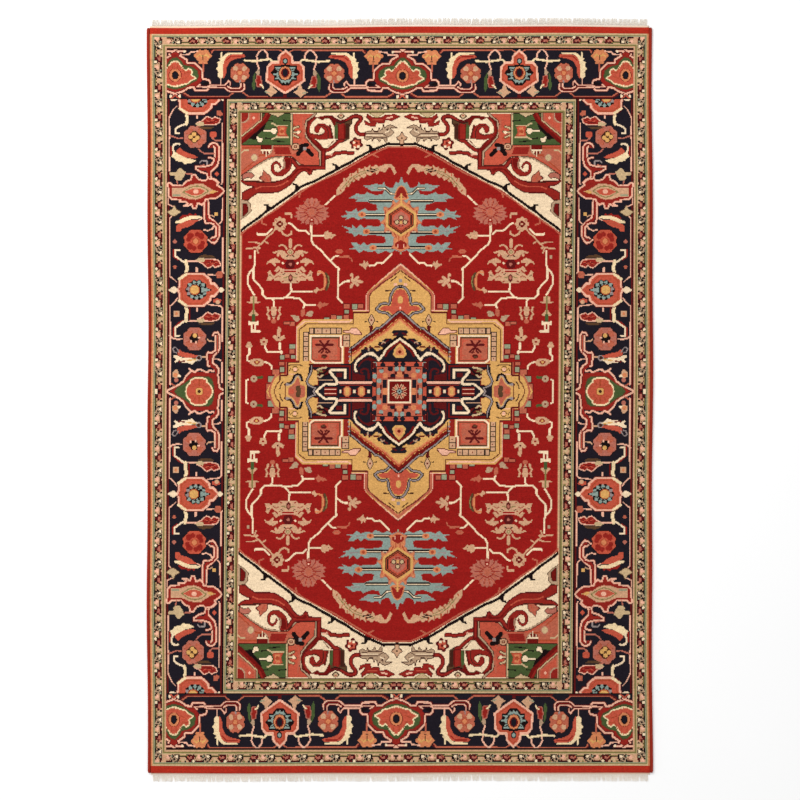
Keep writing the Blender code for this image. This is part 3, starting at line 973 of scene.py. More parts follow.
PANEL_FLOWERS = """
shape SALMON 118,330 117,300 127,296 132,296 134,293 190,293 190,262 172,273.8 158,282.4 142,284.6 130,284
  124,286 120,296 114,312 116.5,326
shape RED 134,293 152,293 150,284.5 131,284.5 /SALMON:1
shape CORAL 101,280 104,274 118,273.5 125,280 118,283 108,283
lines RUST 1.6 120,304 127,304 128,320 ; 168,292 176,292 188,292 ; 160,283 168,283 174,276 188,264
lines BLACK 5.2 112.5,295.5 119.5,294 120.5,290 ; 117,291.5 123,284.5 ; 106.5,283.5 111.5,289
petals LAVENDER 115,291 2.4
petals TAN 126,293.5 4.4 /BROWN flat=.8
petals DEEP 126,293.5 2.2 flat=.7
petals STRAW 126,293.5 1
lines STRAW 2 130.5,311.5 123,311 120.5,312 ; 130,308 126,306.5 123,305 ; 130,314 127,317 123,318
  /BROWN:.7
petals IVORY 123,311 1.8
line STRAW 1.7 130.7,296 130.7,333 /BROWN:.8
petals STRAW 174.5,280 3.9 /ROSE:1.2
line STRAW 1.5 190,286 186,289 182,289
"""
BIG_BAND = """
line BROWN 1.1 150,249.4 184,250.4
shape DEEP 107,266 109,261.5 113,265 122,264.6 128,258 132,254.6 138,249.6 134,254.6 128,260.4 124,266
  112,267.4
line CORAL 1.5 135,251 142,246.6 150,244.6 166,244.4 172,242
shape RED 131.4,279.4 138.6,280.4 140,277 139.4,271 140.4,266.4 143,263 146.5,261.6 150,262.8 151.6,266
  151.8,270 149.6,273 147,272.4 144.6,270 143.6,266.6 143,269 144.6,273 148,275.2 151.6,274.4 154.2,270
  154.2,264 151.6,259.6 147,257.4 141,258 136,261 132.4,265.4 130.6,271 /MAROON:.7
shape DEEP 132.4,279 137.4,279.6 138,271 136.4,265.4 133.4,268 132,273
line BUFF 1 139.4,278 138.6,271 139.4,266
shape SALMON 154.5,250 155,254.5 157,258.5 160,260 163.4,264 164,258.5 168,255 165,252.6 161,250
  /MAROON:.9
line CORAL 1.6 158,252 161,257.6
shape ROSE 175,258 177.5,254.5 182,256.5 188,253.6 188,259 182,261.6 178,261 /BROWN:.8
shape BUFF 178,215 179,223 182,227 190,228 190,205 184,209 /UMBER:.8
shape DEEP 182,213 181.6,219 183.4,223 187.4,223 187.4,208.6 /BROWN:.7
"""
GREEN_BOX = """
shape CORAL 136,306.6 138.6,311 137,317 141,319.4 147,318 146,312 147.6,306.6 /RUST:.8
shape ORANGE 138.6,308 140.4,312 139,317 144,317.6 145,312 145,307.6
petals RUST 142.4,312.4 2.2
lines STRAW 1.7 134.4,304.7 147.6,304.7 ; 136,319.4 147,319.4
lines STRAW 1.8 147.6,318.6 152,321.6 154.6,322 ; 147.6,306 152,303.6 154,302.6
shape IVORY 147.6,313 150,316.4 153.4,316.4 155,314.2 164,314.2 164,312.2 155,312 153,309.6 150.6,308.4
  /BLACK:.5
shape IVORY 165,303.6 166,299 170,298.6 171.4,303 174,307.6 172,308 169,304.6 /BLACK:.7
shape BLACK 161,322 163,316 166,312.6 171,307.6 173,302 182,303 189,297 189,303 176,312 168,320 163,328
line DEEP 6 158,335 162,327 169,319.5 178,311.6 190,300.5 /MAROON:.8
line RED 2.2 160,334 164,327 170,320.5 178,313.4 190,302.5
shape SALMON 167,335 167.5,326 178,317 190,306 190,335
shape CORAL 170,335 170,327 180,318.6 188,311.6 188,322 180,324 178,335
line STRAW 1.5 166.4,334 166.7,326 178,316 189,307 /BROWN:.6
shape RED 182,335 182.6,328 185,325 190,324 190,335 /BUFF:1.4
petals PINK 175.6,329 1.6 4 .3
shape STRAW 140,334 145,331.5 147,329.6 149,331.5 157,334 157,336 140,336 /BLACK:.6
shape DEEP 153.4,295 154.6,287 158,284 165,286 166,295 /BROWN:1
line BUFF 1.2 153,294.6 154.4,287 158,283.6
line IVORY 2.4 155.6,289.2 165.6,289.2
lines IVORY 1.7 157,289 156.6,285.4 ; 160.6,289 160.4,281.6 ; 164.4,289 164.6,285.4
"""


class SpandrelDesign:
    """The ivory corners with their red arabesques."""

    def draw(self, pen: Pen) -> None:
        """Draw one corner.

        Args:
            pen: A pen that keeps to the corner.
        """
        pen.box(Y.IVORY, 0, 170, 190, 335)
        edge = (
            "0,296 16,297 22,294.5 28,292 38,288 44,284.5 54,279 60,274.5 72,268.5 80,263.5 "
            "90,258.5 103,251 115,246.5 120,243.5 130,235 143,226 153,218.5 158,216 168,207 "
            "181,198 190,191"
        )
        pen.line(Y.BLACK, 3.2, edge)
        for u, v in ((36, 288.5), (76, 265), (123, 241), (156.5, 215.5)):
            pen.shape(Y.BLACK, np.array(((-7, 3), (-3, 2), (1, 7), (7, 8), (6, 5.5), (3.4, 5),
                                         (3, 1), (6, -4), (0, -1))) + (u, v))
        pen.draw(RIBBON)
        pen.draw(VASE)
        self.panel(pen)
        self.big_band(pen)
        self.green_box(pen)

    def panel(self, pen: Pen) -> None:
        """Draw the ivory spiral and the salmon panel with its tan edge."""
        pen.draw(PANEL_SPIRAL)
        panel = (
            "103,334 107,330 113.5,325 115,312 113,305 105,295 97,287 96.5,270 98,269 120,270 "
            "125,275 131,280.5 141,280.8 150,280 158,278 172,269.5 190,256 190,297 132,297 "
            "131.5,334"
        )
        pen.shape(Y.CORAL, panel)
        pen.line(Y.BROWN, 3.4, panel.rsplit(" ", 3)[0])
        pen.line(Y.BUFF, 1.5, panel.rsplit(" ", 3)[0])
        pen.draw(PANEL_FLOWERS)

    def big_band(self, pen: Pen) -> None:
        """Draw the red band that sweeps along the field and the spiral above it."""
        pen.shape(Y.IVORY, "125,269 127,273 131,281 126,262 128,255 140,250 184,251.5 "
                           "189,255 172,268.5 158,277 150,279 141,279.8 131,279.5")
        for edge, yarn in ((1.3, Y.MAROON), (0.0, Y.RED)):
            pen.shape(yarn, "91,268.8 91,266.2 106,265.6 107.5,260 109,259.5 112,263 116,264.6 "
                            "120,262.6 125,257 128,252 133,246.5 138,243 145,238.8 152,237.6 "
                            "170,237.8 176,233.6 181,229.6 188,228 188,236.6 182,240 176,242.6 "
                            "173,244 176,245.6 184,247 190,251.6 184,250.6 152,249.8 145,250.6 "
                            "138,253.4 131,258.6 127.6,263 124,267.4 128,272 131.6,277 "
                            "131.6,279.6 129,278 122,269.4", yarn, edge)
        pen.draw(BIG_BAND)

    def green_box(self, pen: Pen) -> None:
        """Draw the green block in the corner and what lies on it."""
        pen.box(Y.GREEN, 132.4, 296.4, 189, 334, Y.BLACK, 0.9)
        for x, y, wide in ((136, 325, 9), (146, 299.5, 12), (158, 303, 7), (156, 325, 5)):
            pen.line(Y.BLACK, 1.3, [(x - wide / 2, y), (x + wide / 2, y + 1)])
        pen.draw(GREEN_BOX)


# The recipes of the main border motifs, in knots from the middle of the rug.  See Pen.draw.
GREEN_PALMETTE = """
shape RED -2,411 4,408.5 7,405 14,400 16,396 24,395 31,389 33,385 33,379 34,376 31,372 27,366 16,365 8,361
  -2,358
shape GREEN -2,403 3,402 7,398.5 10,393.5 20,391.5 27,386.5 28.5,380 26.5,375 17,370 10,366 3,364.5
  -2,364.5 /UMBER:.9 open
shape CORAL -2,398 3,397 6.5,393 9.5,388 13,386 16.5,388.5 19.5,387 20,384 19,381 24.5,377.5 18,374.5
  15.5,371.5 8,370 4,368.5 -2,367.5 /CREAM:1.6 open
line RUST 1 8,392 12,384 18,385
line RUST 1 9,377 16,379.5
line RUST 1 4,396 3,389
petals DEEP 0,381 8.2
petals ORANGE 0,381 7.2 flat=1.1
petals BLACK 0,381 4.4 flat=1.2
petals NAVY 0,381 3.2 flat=1.2
lines PINK 2.1 -2,413.5 3,410.7 12,411 ; 7,407 6,405.3 10,403 14,400.5 15,396.5 24,396 28,393 31,389.5
  34,387 34,378 35,376 41,375.5 43,373 43,370 ; -2,357.5 8,360.5 14,363.5 16,365.5 23,366 25,362.3
  40,362.6 43,366 /MAROON
petals IVORY 11.6,410.8 1.7
petals IVORY 5.5,355 2
line CORAL 1.5 -1,356.5 5,352.5
"""
END_TIPS = """
lines MAROON 1.8 44,411 49,415.2 140,415.2 ; 10,357 18,353 68,353 ; 90,353 140,353
lines SALMON 1.7 45,409.5 48,413 130,413.4 134,411 ; 10,359.5 18,354.8 67,354.8 73,359.5 ; 85,359.5
  92,354.8 116,354.8
"""
END_LOWER_VINES = """
lines DEEP 1.6 43,367.4 63,367.4 67,364 70,362.6 81,362.6 84,364.5 85.4,368
lines PINK 1.6 31,369.5 27,366.6 40,366.4 44,368.9 62,368.9 65,371.5 66.3,374 68.8,372 68.8,369 ; 42,366
  62,365.8 66,362 69,360.6 82,360.6 85,362 87.3,365 86.3,370 ; 66,367 69,365.2 72,364.7 80,364.7
  82.3,366.5 82.5,371 /MAROON:.7
shape BLACK 33,370 37,372.3 42,373 42.5,369.5 38,368.8
petals ORANGE 34.2,405.5 11.4 6 .22 0 flat=.72
lines GOLD 1.6 27,404 30,407 33,405 ; 41.5,404 38.5,407 35.5,405
line BLACK 1.4 34.4,400.5 34.4,405.5
line ORANGE 3 30.5,396.5 38.5,396.5
line SALMON 2 34.5,396 35,389 34.6,386
line PINK 1.7 7,406.6 17,407 19,410 28,411
"""
END_UPPER_VINES = """
line LAVENDER 1.3 81,372 81.5,375
lines PINK 1.9 103,400 102,405 105,410 110,414 ; 110,414 115,409 116.5,402 ; 103,399 103,395 105,390
  104,386
line CREAM 2.4 87,399.6 100,398.5 110,400 119,401.2 121.5,398 131,397.6
shape GREEN 101,386 97.5,379 96.5,368 98.5,361 101,366 100.5,377
shape BUFF 103.5,388.5 101,384.5 103,380.5 106.5,382.5 106.5,386
shape RED 103,380.5 102,374 103.5,367.5 107.5,366.8 108.5,371 106.5,379.5 /ROSE:1.1
line CREAM 1.8 107,369.5 109.5,368 111,365.5
shape TAN 120.5,371 118.5,365 112.5,360.5 117,357.5 121,354 124,357.5 129,360.5 124,364.5 122.5,371
line SAGE 1.4 113.5,360.5 118,359.5
"""
SICKLE = """
shape CORAL 59,378 58,392 61.5,400.5 66,405.5 72,407 86,407 88.5,404 74,401 68,398 64.5,391 63.5,383
  61,377.5
line RED 1.4 64,400 70,404.8 84,405
shape CREAM 57.5,376.5 55.5,377.5 52.5,380 54,385 50.8,389.5 53.5,392.5 52.3,397.5 56.5,399 54.5,402
  58.5,403.5 61,406 66,409.7 84.5,409.7 85.5,407.8 69,407 65,405 61.5,400 59.3,392 59.3,378
line CREAM 2 58,404 58,409
"""
SHIELD_BODY = """
shape CORAL 139,413 134,408.5 131,405 130.5,397.5 122,397.5 117.5,392 116.5,375 122,371 138,359.5
  139,359.5
line RUST 1 139,409 135,405.5 133.5,402.5 133,395.3 123.5,395 120,391 119,376.5 124,373 139,362.8
line PINK 2.4 139,412.5 134,408.5 131,405 130.5,397.5 122,397.5 117.5,392 116.5,375 122,371 138.4,359.8
shape BLACK 139,395 133,394.5 129,393.5 125.5,394 125,390 121,384.5 125,380.5 125,375.5 130,374.5
  134,369.5 139,369
shape BLUE 139,392.6 134.5,392 130,391.5 126.5,392.5 128,388.5 131,386.5 128,384.5 122.5,383 128,381.6
  129,379.5 126,377.3 131,377.5 134.5,372.3 137,373.5 139,371
line BLACK 1 128,390 133,388
line BLACK 1 131,380.5 134,376
"""
SHIELD_HEART = """
petals BROWN 139,384.5 8 flat=1.15
petals ORANGE 139,384.5 7 flat=1.2
petals DEEP 139,384.8 4.9 flat=1.25
petals NAVY 139,385 3.6 flat=1.3
petals BLACK 139,399.5 3.2 flat=1.2
petals BLUE 139,399.5 2.2 flat=1.2
line BLACK 1.4 139,396 139,393
petals MAROON 139,356 2.2
"""
SIDE_EDGES = """
boxes BLACK 208.6,0,210,353
lines MAROON 1.6 209.8,0 209.8,353 ; 275,0 275,353
boxes BLACK 276,0,277,353
lines PINK 1.4 211,10 211,35 ; 211,59 211,100 214,102 228,103.6 ; 211,183 211,142 209,141 ; 216,198
  212,203 211.6,230 ; 213,247 211.8,250 212.4,322 ; 272.8,8 273.3,102 268,106 264,112 ; 265,130 269,134
  273.5,137 273.6,206 270,209.5 ; 275.4,230 275.3,223 269,219.5 ; 274,263 274.4,299 274,307 ; 274,308
  274.4,329 270,339 265,344
"""
DARK_ROSETTE = """
petals BLACK 243.8,63.5 6.4 6 .3
dots PINK 1.5 238.3,64 242,58.8 248,59.8
petals GOLD 243.5,66.5 2.8 5 .3
"""
LARGE_ROSETTE = """
petals BROWN 245,305.5 7.6 4 .2
dots GOLD 2.6 241.3,304.5 245.5,309 249.6,305.5 245,301.5
"""
ROUND_PALMETTE = """
shape RED 209,-1 215,4 217,20 222,22.5 230,22.5 246,23 254,16 258,10 265,6 275,-1
shape GREEN 220.5,-1 221,6 223,14 227,17 238,17.6 246,16.5 251,12.5 257,8 264,4.5 268,-1 /UMBER:.9 open
shape CORAL 222.5,-1 224,4.5 227,8.5 230.5,11 230,13.5 234,15 243,15 247.5,13 248,9.5 251,7.5 252.5,4
  253,-1 /CREAM:1.7 open
lines RUST 1 238,6 238,14 ; 232,5 227,6.5 ; 244,5 250,6.5 ; 234,7 232,12 ; 242.5,7 245,12
petals RUST 238,0 5.6
petals GOLD 238,0 4.4
petals BROWN 238,0 2
line PINK 2.2 219,26.5 221.5,23.6 226,25.3 229,22.5 234,25 239,26.5 241,24.5 243.5,22.8 250,26.6
line PINK 2.2 247,24.5 254,18 257,12 262,8.4 268,5.3 273,3 277,.5
line SALMON 1.5 266.5,6.5 271,9
shape TAN 262,20 264.5,26.5 268,25 270.5,22 270.5,17.5 268,16.5 264,16
petals ORANGE 266.4,19.5 2.4
petals IVORY 262,18.4 1.9
petals ROSE 265.5,13.2 2.6
"""
RED_VINES = """
line RED 4.6 217,14 217,24 219.5,29 224.5,31 225.5,38 224.5,43 218,48.5 216.6,54 216.6,66
line CORAL 1.6 216.6,50 216.6,67
lines PINK 2 210,2 213.7,4.5 215,12 215.7,20 214.6,26 218,31 221.4,33 222.4,38 220.5,42.5 216.5,46.5
  214.5,50 214,60 214.2,67.5 216.8,70.6 220,70 222.3,66.8 ; 226,30 228,30.5 228.4,36 229.3,43.5 227.6,46.6
  224,45.6 219.3,48.7 218.6,54 218.7,66.5 /MAROON:.8
line RED 1.8 216.6,46 216.6,66
line CORAL 1.6 216.6,50 216.6,66
line PINK 1.5 213,37 216,38.6 220,38.4
lines TAN 1.6 219.5,59.3 226,60 228.5,62 ; 230,41 236,41 238,42.5
petals LAVENDER 238.4,39.6 3.6
petals BROWN 238.6,39.8 2.2
"""
HOOKED_VINES = """
lines PINK 1.8 258,62.6 265,62.2 270,63.5 274,66.5 ; 241,84.3 253,83.4
line RED 2.2 269.4,66 269.4,75 263,81 258,84
line IVORY 2.2 262.5,66.2 267,66.2 266.8,76 261,80 255,85
line CREAM 3.8 254,84 254.2,91 252.6,95.5 254.5,101
line DEEP 1.8 250.3,86 250.3,99
petals TAN 265.5,92.6 4.4 4 .25 45
petals ORANGE 265.5,92.6 2
line PINK 2 241,102 241.2,95.5
line CREAM 3.8 255,140 252.8,146 254.4,155
line PINK 2.4 241.6,140 241.6,147
lines PINK 1.8 252,155 241,155.3 ; 219,138.4 228,139
line RED 2.2 269.3,168 269.3,161 264,157
line IVORY 2.2 257,154 262,157.5 266.8,161 267,168 262.3,168.2
shape SALMON 210.5,142 216,143.5 219,140 218,135.5 213.5,134.5 211,137
petals ROSE 267.5,178.3 2.3
petals SALMON 267.5,148.3 2.1
shape CORAL 212,109 217,111 222,110 222,106 214,105.5
petals TAN 216.6,106.5 2.4
line RED 3 222,179.5 218,184 217,196 220,200 228,203.5 230.6,208 230.6,229
lines PINK 1.9 221.5,175.5 218,179 215.3,185 214.6,196 218,199.5 222,203.2 226.6,206.5 228.2,213 228.5,228
  ; 221.5,182.8 219.3,185 219.3,195.5 222,198.8 226,200.5 231.5,200 233,206 233,227 ; 220,177 224,176.5
  227,179.5 231,180.3 ; 225,181.5 223,183.5 221,182.6 /MAROON:.8
lines RED 2 217,184 217,196 221,201 228,204.5 230.6,209 230.6,226
line PINK 1.6 221.5,197 223.5,193.3 229,191 233.5,192.3
"""
VINE_LEAVES = """
petals GOLD 219,211 2.6
line TAN 1.3 221,208 225,209.5
shape STRAW 260.5,214 266,216.5 268,221.5 270.5,217 276.5,214 273,210 268.5,208.5 265,210.5 /UMBER:.7
"""
HOOKED_LEAF = """
shape CORAL 240.5,42.5 250,45.3 258,46.8 262,50 264.5,47 263.5,42.5 256,40.5 248,39.7 242,40
shape IVORY 239.5,37.5 247,39.6 256,39.6 262,41.6 265,43.3 269,42.6 269.3,41 265.5,38.6 268.3,35.4
  266.5,34.2 261.5,37.4 257.8,33.6 253.5,34 249.5,33 247,31.8 243.5,35.2
line GOLD 1.6 243,38 252,36.6
line DEEP 1.6 256,36 262,35.2
line LAVENDER 1.3 262.5,46.5 264.5,50.5 267,53 270,51 268.6,47.2 265.6,46
"""
CURL_LEAF = """
shape UMBER 219,82 232,82 240,81 234,78.5 224,79
shape RED 214,91 216,91.5 220,93 222.5,90.6 225.5,92.3 228.5,93.6 231,91.5 234,88.5 240,85.6 232,84.6
  224,84.4 218,85.2 215,87.4 /PINK:1.3
shape STRAW 233,87.6 238,87 243,84.8 239,82.2 235,82 231.5,83.4
lines CORAL 1.2 218,87.6 224,89.4 ; 225,87 230,89.8
line MAROON .9 217,90 222,87 229,87.4
"""
RED_FRINGED_LEAF = """
shape CORAL 240,204 250,204.5 258,201 262,199.5 266,197 266,190 262,189.5 258.5,194 253,195 247,198
  242,202
shape RED 241,208 243,212.3 246,209.5 250,212.3 253,209.5 258,210 263,206 258,204
shape CREAM 234.5,207 240,209.3 248,209.2 256,207 262,203.8 267,202.2 267,200 261,199.6 255,202.6 248,205
  240,205.4
line PINK 1.4 235,206 239,203.5
"""
CARTOUCHE_BODY = """
line RED 5 224,249 227.5,256 227.5,263 221,270 219.5,276 218.2,282 218.2,292 222,296 226,294.5
shape RED 226,263 236,264 243,268 237,268 228,269
lines PINK 2 216,249.5 219,252.3 225,255 226,258 226,262 222,266 218,270 216.6,275 215.8,280 215.8,293
  219.5,297.3 223,298.3 227,296.4 228.4,293 ; 229.3,254 229.6,260 237,262.3 243,266 243.5,269.4 237,269
  230,269.6 225,271 222.4,275 222.4,279 228,280 ; 220.6,281 220.6,291 222.5,294 /MAROON:.8
lines RED 2.2 227.5,257 227.5,263 221,270 219.5,276 218.2,282 218.2,293
"""
CARTOUCHE_VINE = """
line OLIVE 1.2 228,239 234,243.5 241,245.2 250,243.5 258,237.8 250,233.2 243,231.5 236,234 228,239
shape CORAL 232,239 238,242 246,242.5 256,238.4 250,234.6 243,233.6 237,235
petals PINK 243,238.3 3.2 flat=.8
shape GOLD 218,238.5 223,240 227.5,237.5 224,235.3
line SAGE 2 262,234 269,234
line LAVENDER 1.6 230,271.5 230.3,276 236.5,276.4 238.5,274
line ROSE 1.5 234,271 238,269.8
shape STRAW 254.5,262 258,264 260.5,267.3 264,266.2 266,262.5 274.5,262 273,258.2 266,257.2 268.4,254.5
  264.5,251.6 260,252 257.5,256.4
line ROSE 1.5 248,260 255,260.3
line ROSE 1.4 265.5,251.5 264,246.5
shape CORAL 240.5,280 246,283.5 253,286 258,288.5 262,292 265.5,289 266,283 256,280.6 247,278.6
shape CREAM 243,276.4 248,278.4 254,279.4 262,283.4 268,287.5 270.5,284 272.3,281 268,279 266.3,276
  258.5,274.3 257.3,272.4 251,272.6 247,274
line RED 2 272.2,283 272.4,293
line IVORY 2.2 269,284 270,293 269,296 265,297 262,296.5
petals CORAL 223,308.3 4.2
lines ROSE 1.7 213,301.3 221,301.3 224.5,304.5 ; 222,285 233,285 238,288 241.3,292.5 ; 258,304 264,303.5
  270,306 274,307
petals CORAL 218.4,260 2.8 4 .3
line IVORY 2.2 262.5,310 267,310.3 266.8,315.5 262,319 255,321.5
line CREAM 3.6 254.5,321 253.4,326 254,333.5
line PINK 2 241.6,335 241.6,328.5
shape SALMON 211.5,333 215,338.6 219,337.6 219,332.5 215,331
"""


class BorderDesign:
    """The navy main border: palmettes, rosettes and hooked leaves on red vines."""

    def draw(self, pen: Pen) -> None:
        """Draw the end strip, the side strip and their edge lines.

        Args:
            pen: A pen that keeps to the main border.
        """
        pen.box(Y.NAVY, 0, 0, 277, 415)
        self.side(pen)
        pen.box(Y.NAVY, 0, 353, 277, 415)
        end = replace(pen, clip=pen.clip & (np.arange(ROWS)[:, None] >= 351.5))
        self.end_unit(end)
        turned = end.moved((138.7 * 1.928, 0.8), (-0.928, 0.0))
        self.end_unit(turned)
        self.shield(end)
        end.lines(Y.BLACK, 1.2, "0,352.6 277,352.6", "0,414.6 277,414.6")

    def end_unit(self, pen: Pen) -> None:
        """Draw the half unit of the end border, from a green palmette to a red bud.

        Args:
            pen: A pen placed at the unit's palmette.
        """
        pen.draw(END_TIPS)
        for p in pen.both(0):
            p.draw(GREEN_PALMETTE)
        pen.draw(END_LOWER_VINES)
        pen.draw(SICKLE)
        pen.line(Y.PINK, 1.7, "57,377 57,369.5")
        self.rosette(pen, 81, 384, 12.6, Y.SALMON, Y.TAN, Y.ORANGE)
        pen.draw(END_UPPER_VINES)

    def rosette(
        self, pen: Pen, s: float, w: float, radius: float, outer: Yarn, inner: Yarn, eye: Yarn
    ) -> None:
        """Draw a rosette of eight petals in two yarns.

        Args:
            pen: The pen.
            s: Its middle on the first axis.
            w: Its middle on the second axis.
            radius: Its size.
            outer: The petals' yarn.
            inner: The yarn of every other petal.
            eye: The middle's yarn.
        """
        pen.petals(outer, s, w, radius, 8, 0.13, 22.5, Y.BLACK, 0.8)
        for k in range(8):
            turn = math.radians(45 * k)
            x, y = s + radius * 0.62 * math.cos(turn), w + radius * 0.62 * math.sin(turn)
            if k % 2:
                pen.petals(inner, x, y, radius * 0.26)
            turn += math.radians(22.5)
            pen.line(Y.RUST, 0.7, [
                (s + radius * r * math.cos(turn), w + radius * r * math.sin(turn))
                for r in (0.35, 0.8)
            ])
        pen.petals(Y.RUST, s, w, radius * 0.3)
        pen.petals(eye, s, w, radius * 0.22)

    def shield(self, pen: Pen) -> None:
        """Draw the shield-shaped palmette in the middle of each half of the end border."""
        for p in pen.both(138.7):
            p.draw(SHIELD_BODY)
        pen.draw(SHIELD_HEART)

    def side(self, pen: Pen) -> None:
        """Draw the side strip from the middle to the corner.

        Args:
            pen: A pen that keeps to the main border.
        """
        pen.draw(SIDE_EDGES)
        pen.draw(ROUND_PALMETTE)
        self.side_vines(pen)
        self.rosette(pen, 243.8, 62.5, 14.4, Y.ROSE, Y.SALMON, Y.BLACK)
        pen.draw(DARK_ROSETTE)
        self.curl_leaf(pen, 88)
        self.curl_leaf(pen.moved((0, 241.2), (1, 0), (0, -1)), 88)
        self.blue_palmette(pen, 121)
        self.rosette(pen, 243, 178.5, 14.6, Y.CORAL, Y.RED, Y.ORANGE)
        for k in range(8):
            turn = math.radians(45 * k + 12)
            pen.petals(Y.RED, 243 + 8.6 * math.cos(turn), 178.5 + 8.6 * math.sin(turn), 2.8)
        pen.petals(Y.ORANGE, 243, 177.6, 2.4)
        self.cartouche(pen)
        self.rosette(pen, 244, 305.5, 14.2, Y.ROSE, Y.SALMON, Y.GOLD)
        pen.draw(LARGE_ROSETTE)
        self.curl_leaf(pen.moved((1.5, 236.5), (1, 0), (0, 1)), 88)
        self.blue_palmette(pen, 353.5)

    def side_vines(self, pen: Pen) -> None:
        """Draw the red vines with ivory edges, and the hooked leaves that they carry."""
        pen.draw(RED_VINES)
        pen.draw(HOOKED_LEAF)
        pen.draw(HOOKED_VINES)
        pen.draw(RED_FRINGED_LEAF)
        pen.draw(VINE_LEAVES)

    def curl_leaf(self, pen: Pen, level: float) -> None:
        """Draw the red leaf with an ivory edge that faces the field.

        Args:
            pen: The pen.
            level: Where it lies along the side.
        """
        up = level - 88
        p = pen.moved((pen.origin[0], pen.origin[1] + up * pen.along[1]), pen.across, pen.along)
        p.draw(CURL_LEAF)

    def blue_palmette(self, pen: Pen, level: float) -> None:
        """Draw the round salmon palmette with the black and blue ring.

        Args:
            pen: The pen.
            level: Its middle along the side.
        """
        up, down = pen.moved((0, level)), pen.moved((0, level), (1, 0), (0, -1))
        edge = ("214,-0.6 218.5,5 220.8,7.4 225,7.6 225.6,12.4 229,15.5 234,19.2 253,19.2 "
                "257.5,17 262,13 262,5 264,-0.6")
        for p in (up, down):
            p.line(Y.MAROON, 4.2, edge)
            p.shape(Y.CORAL, edge)
            p.line(Y.RUST, 1.0, "219,0 223,4.5 228,5.5 229.5,10 236,16.5 251,16.5 258,11.5 "
                                "258.5,5 260,0")
            p.line(Y.PINK, 2.4, edge)
            p.line(Y.CREAM, 3.2, "254,18.5 262,13")
        up.petals(Y.BLACK, 241.6, 0, 13.4, 10, 0.14, flat=0.92)
        for k in range(11):
            turn = math.radians(360 / 11 * k + 8)
            x, y = 241.6 + 10.4 * math.cos(turn), 9.4 * math.sin(turn)
            yarn = Y.LAVENDER if k in (0, 10) else Y.BLUE
            up.petals(yarn, x, y, 2.5, 3, 0.4, 33 * k)
            up.petals(Y.BLUE, 241.6 + 0.66 * (x - 241.6), 0.7 * y, 0.9)
        up.shape(Y.BLUE, "225,0 231,2 236,3.4 236,-3.4 231,-2", Y.BLACK, 0.8)
        up.petals(Y.RUST, 244, 0, 6.4)
        up.petals(Y.GOLD, 244, 0.2, 5.3)
        up.shape(Y.IVORY, "209,0 212,3.6 215.5,1.2 215.5,-1.2 212,-3.6")
        up.shape(Y.IVORY, "264,0.8 268,4.4 271,3 275.5,0 271,-3.4 268,-4 264,-0.8")

    def cartouche(self, pen: Pen) -> None:
        """Draw the tan cartouche and the red vine that grows out of it."""
        pen.draw(CARTOUCHE_BODY)
        edge = (
            "209.5,239 213,243 218,246 217,249 223,254 229,254.5 231,252.5 236,252 240,253.5 "
            "243.5,258.6 247.5,258.6 249,253 254,251 259,245.5 270,246 272.5,248.7 276.5,248.5 "
            "275.4,243 275.4,233 271,229 261,228.3 262,226.3 255,226 252,223.5 257,221 252,221 "
            "248,223.6 246,217.6 243,217.6 240.5,224.5 236,222.3 233,225 231.5,229 219,230.5 "
            "214,234 209.5,239"
        )
        pen.shape(Y.RED, edge)
        pen.line(Y.PINK, 1.9, edge)
        ring = ("217,238.5 223,240.5 229,244 234,247.5 241,248.5 250,246.5 257,243.3 271,242.8 "
                "271,232 258,231.5 250,229 243,228.4 236,231 230,235 224,236")
        pen.shape(Y.TAN, ring)
        pen.draw(CARTOUCHE_VINE)


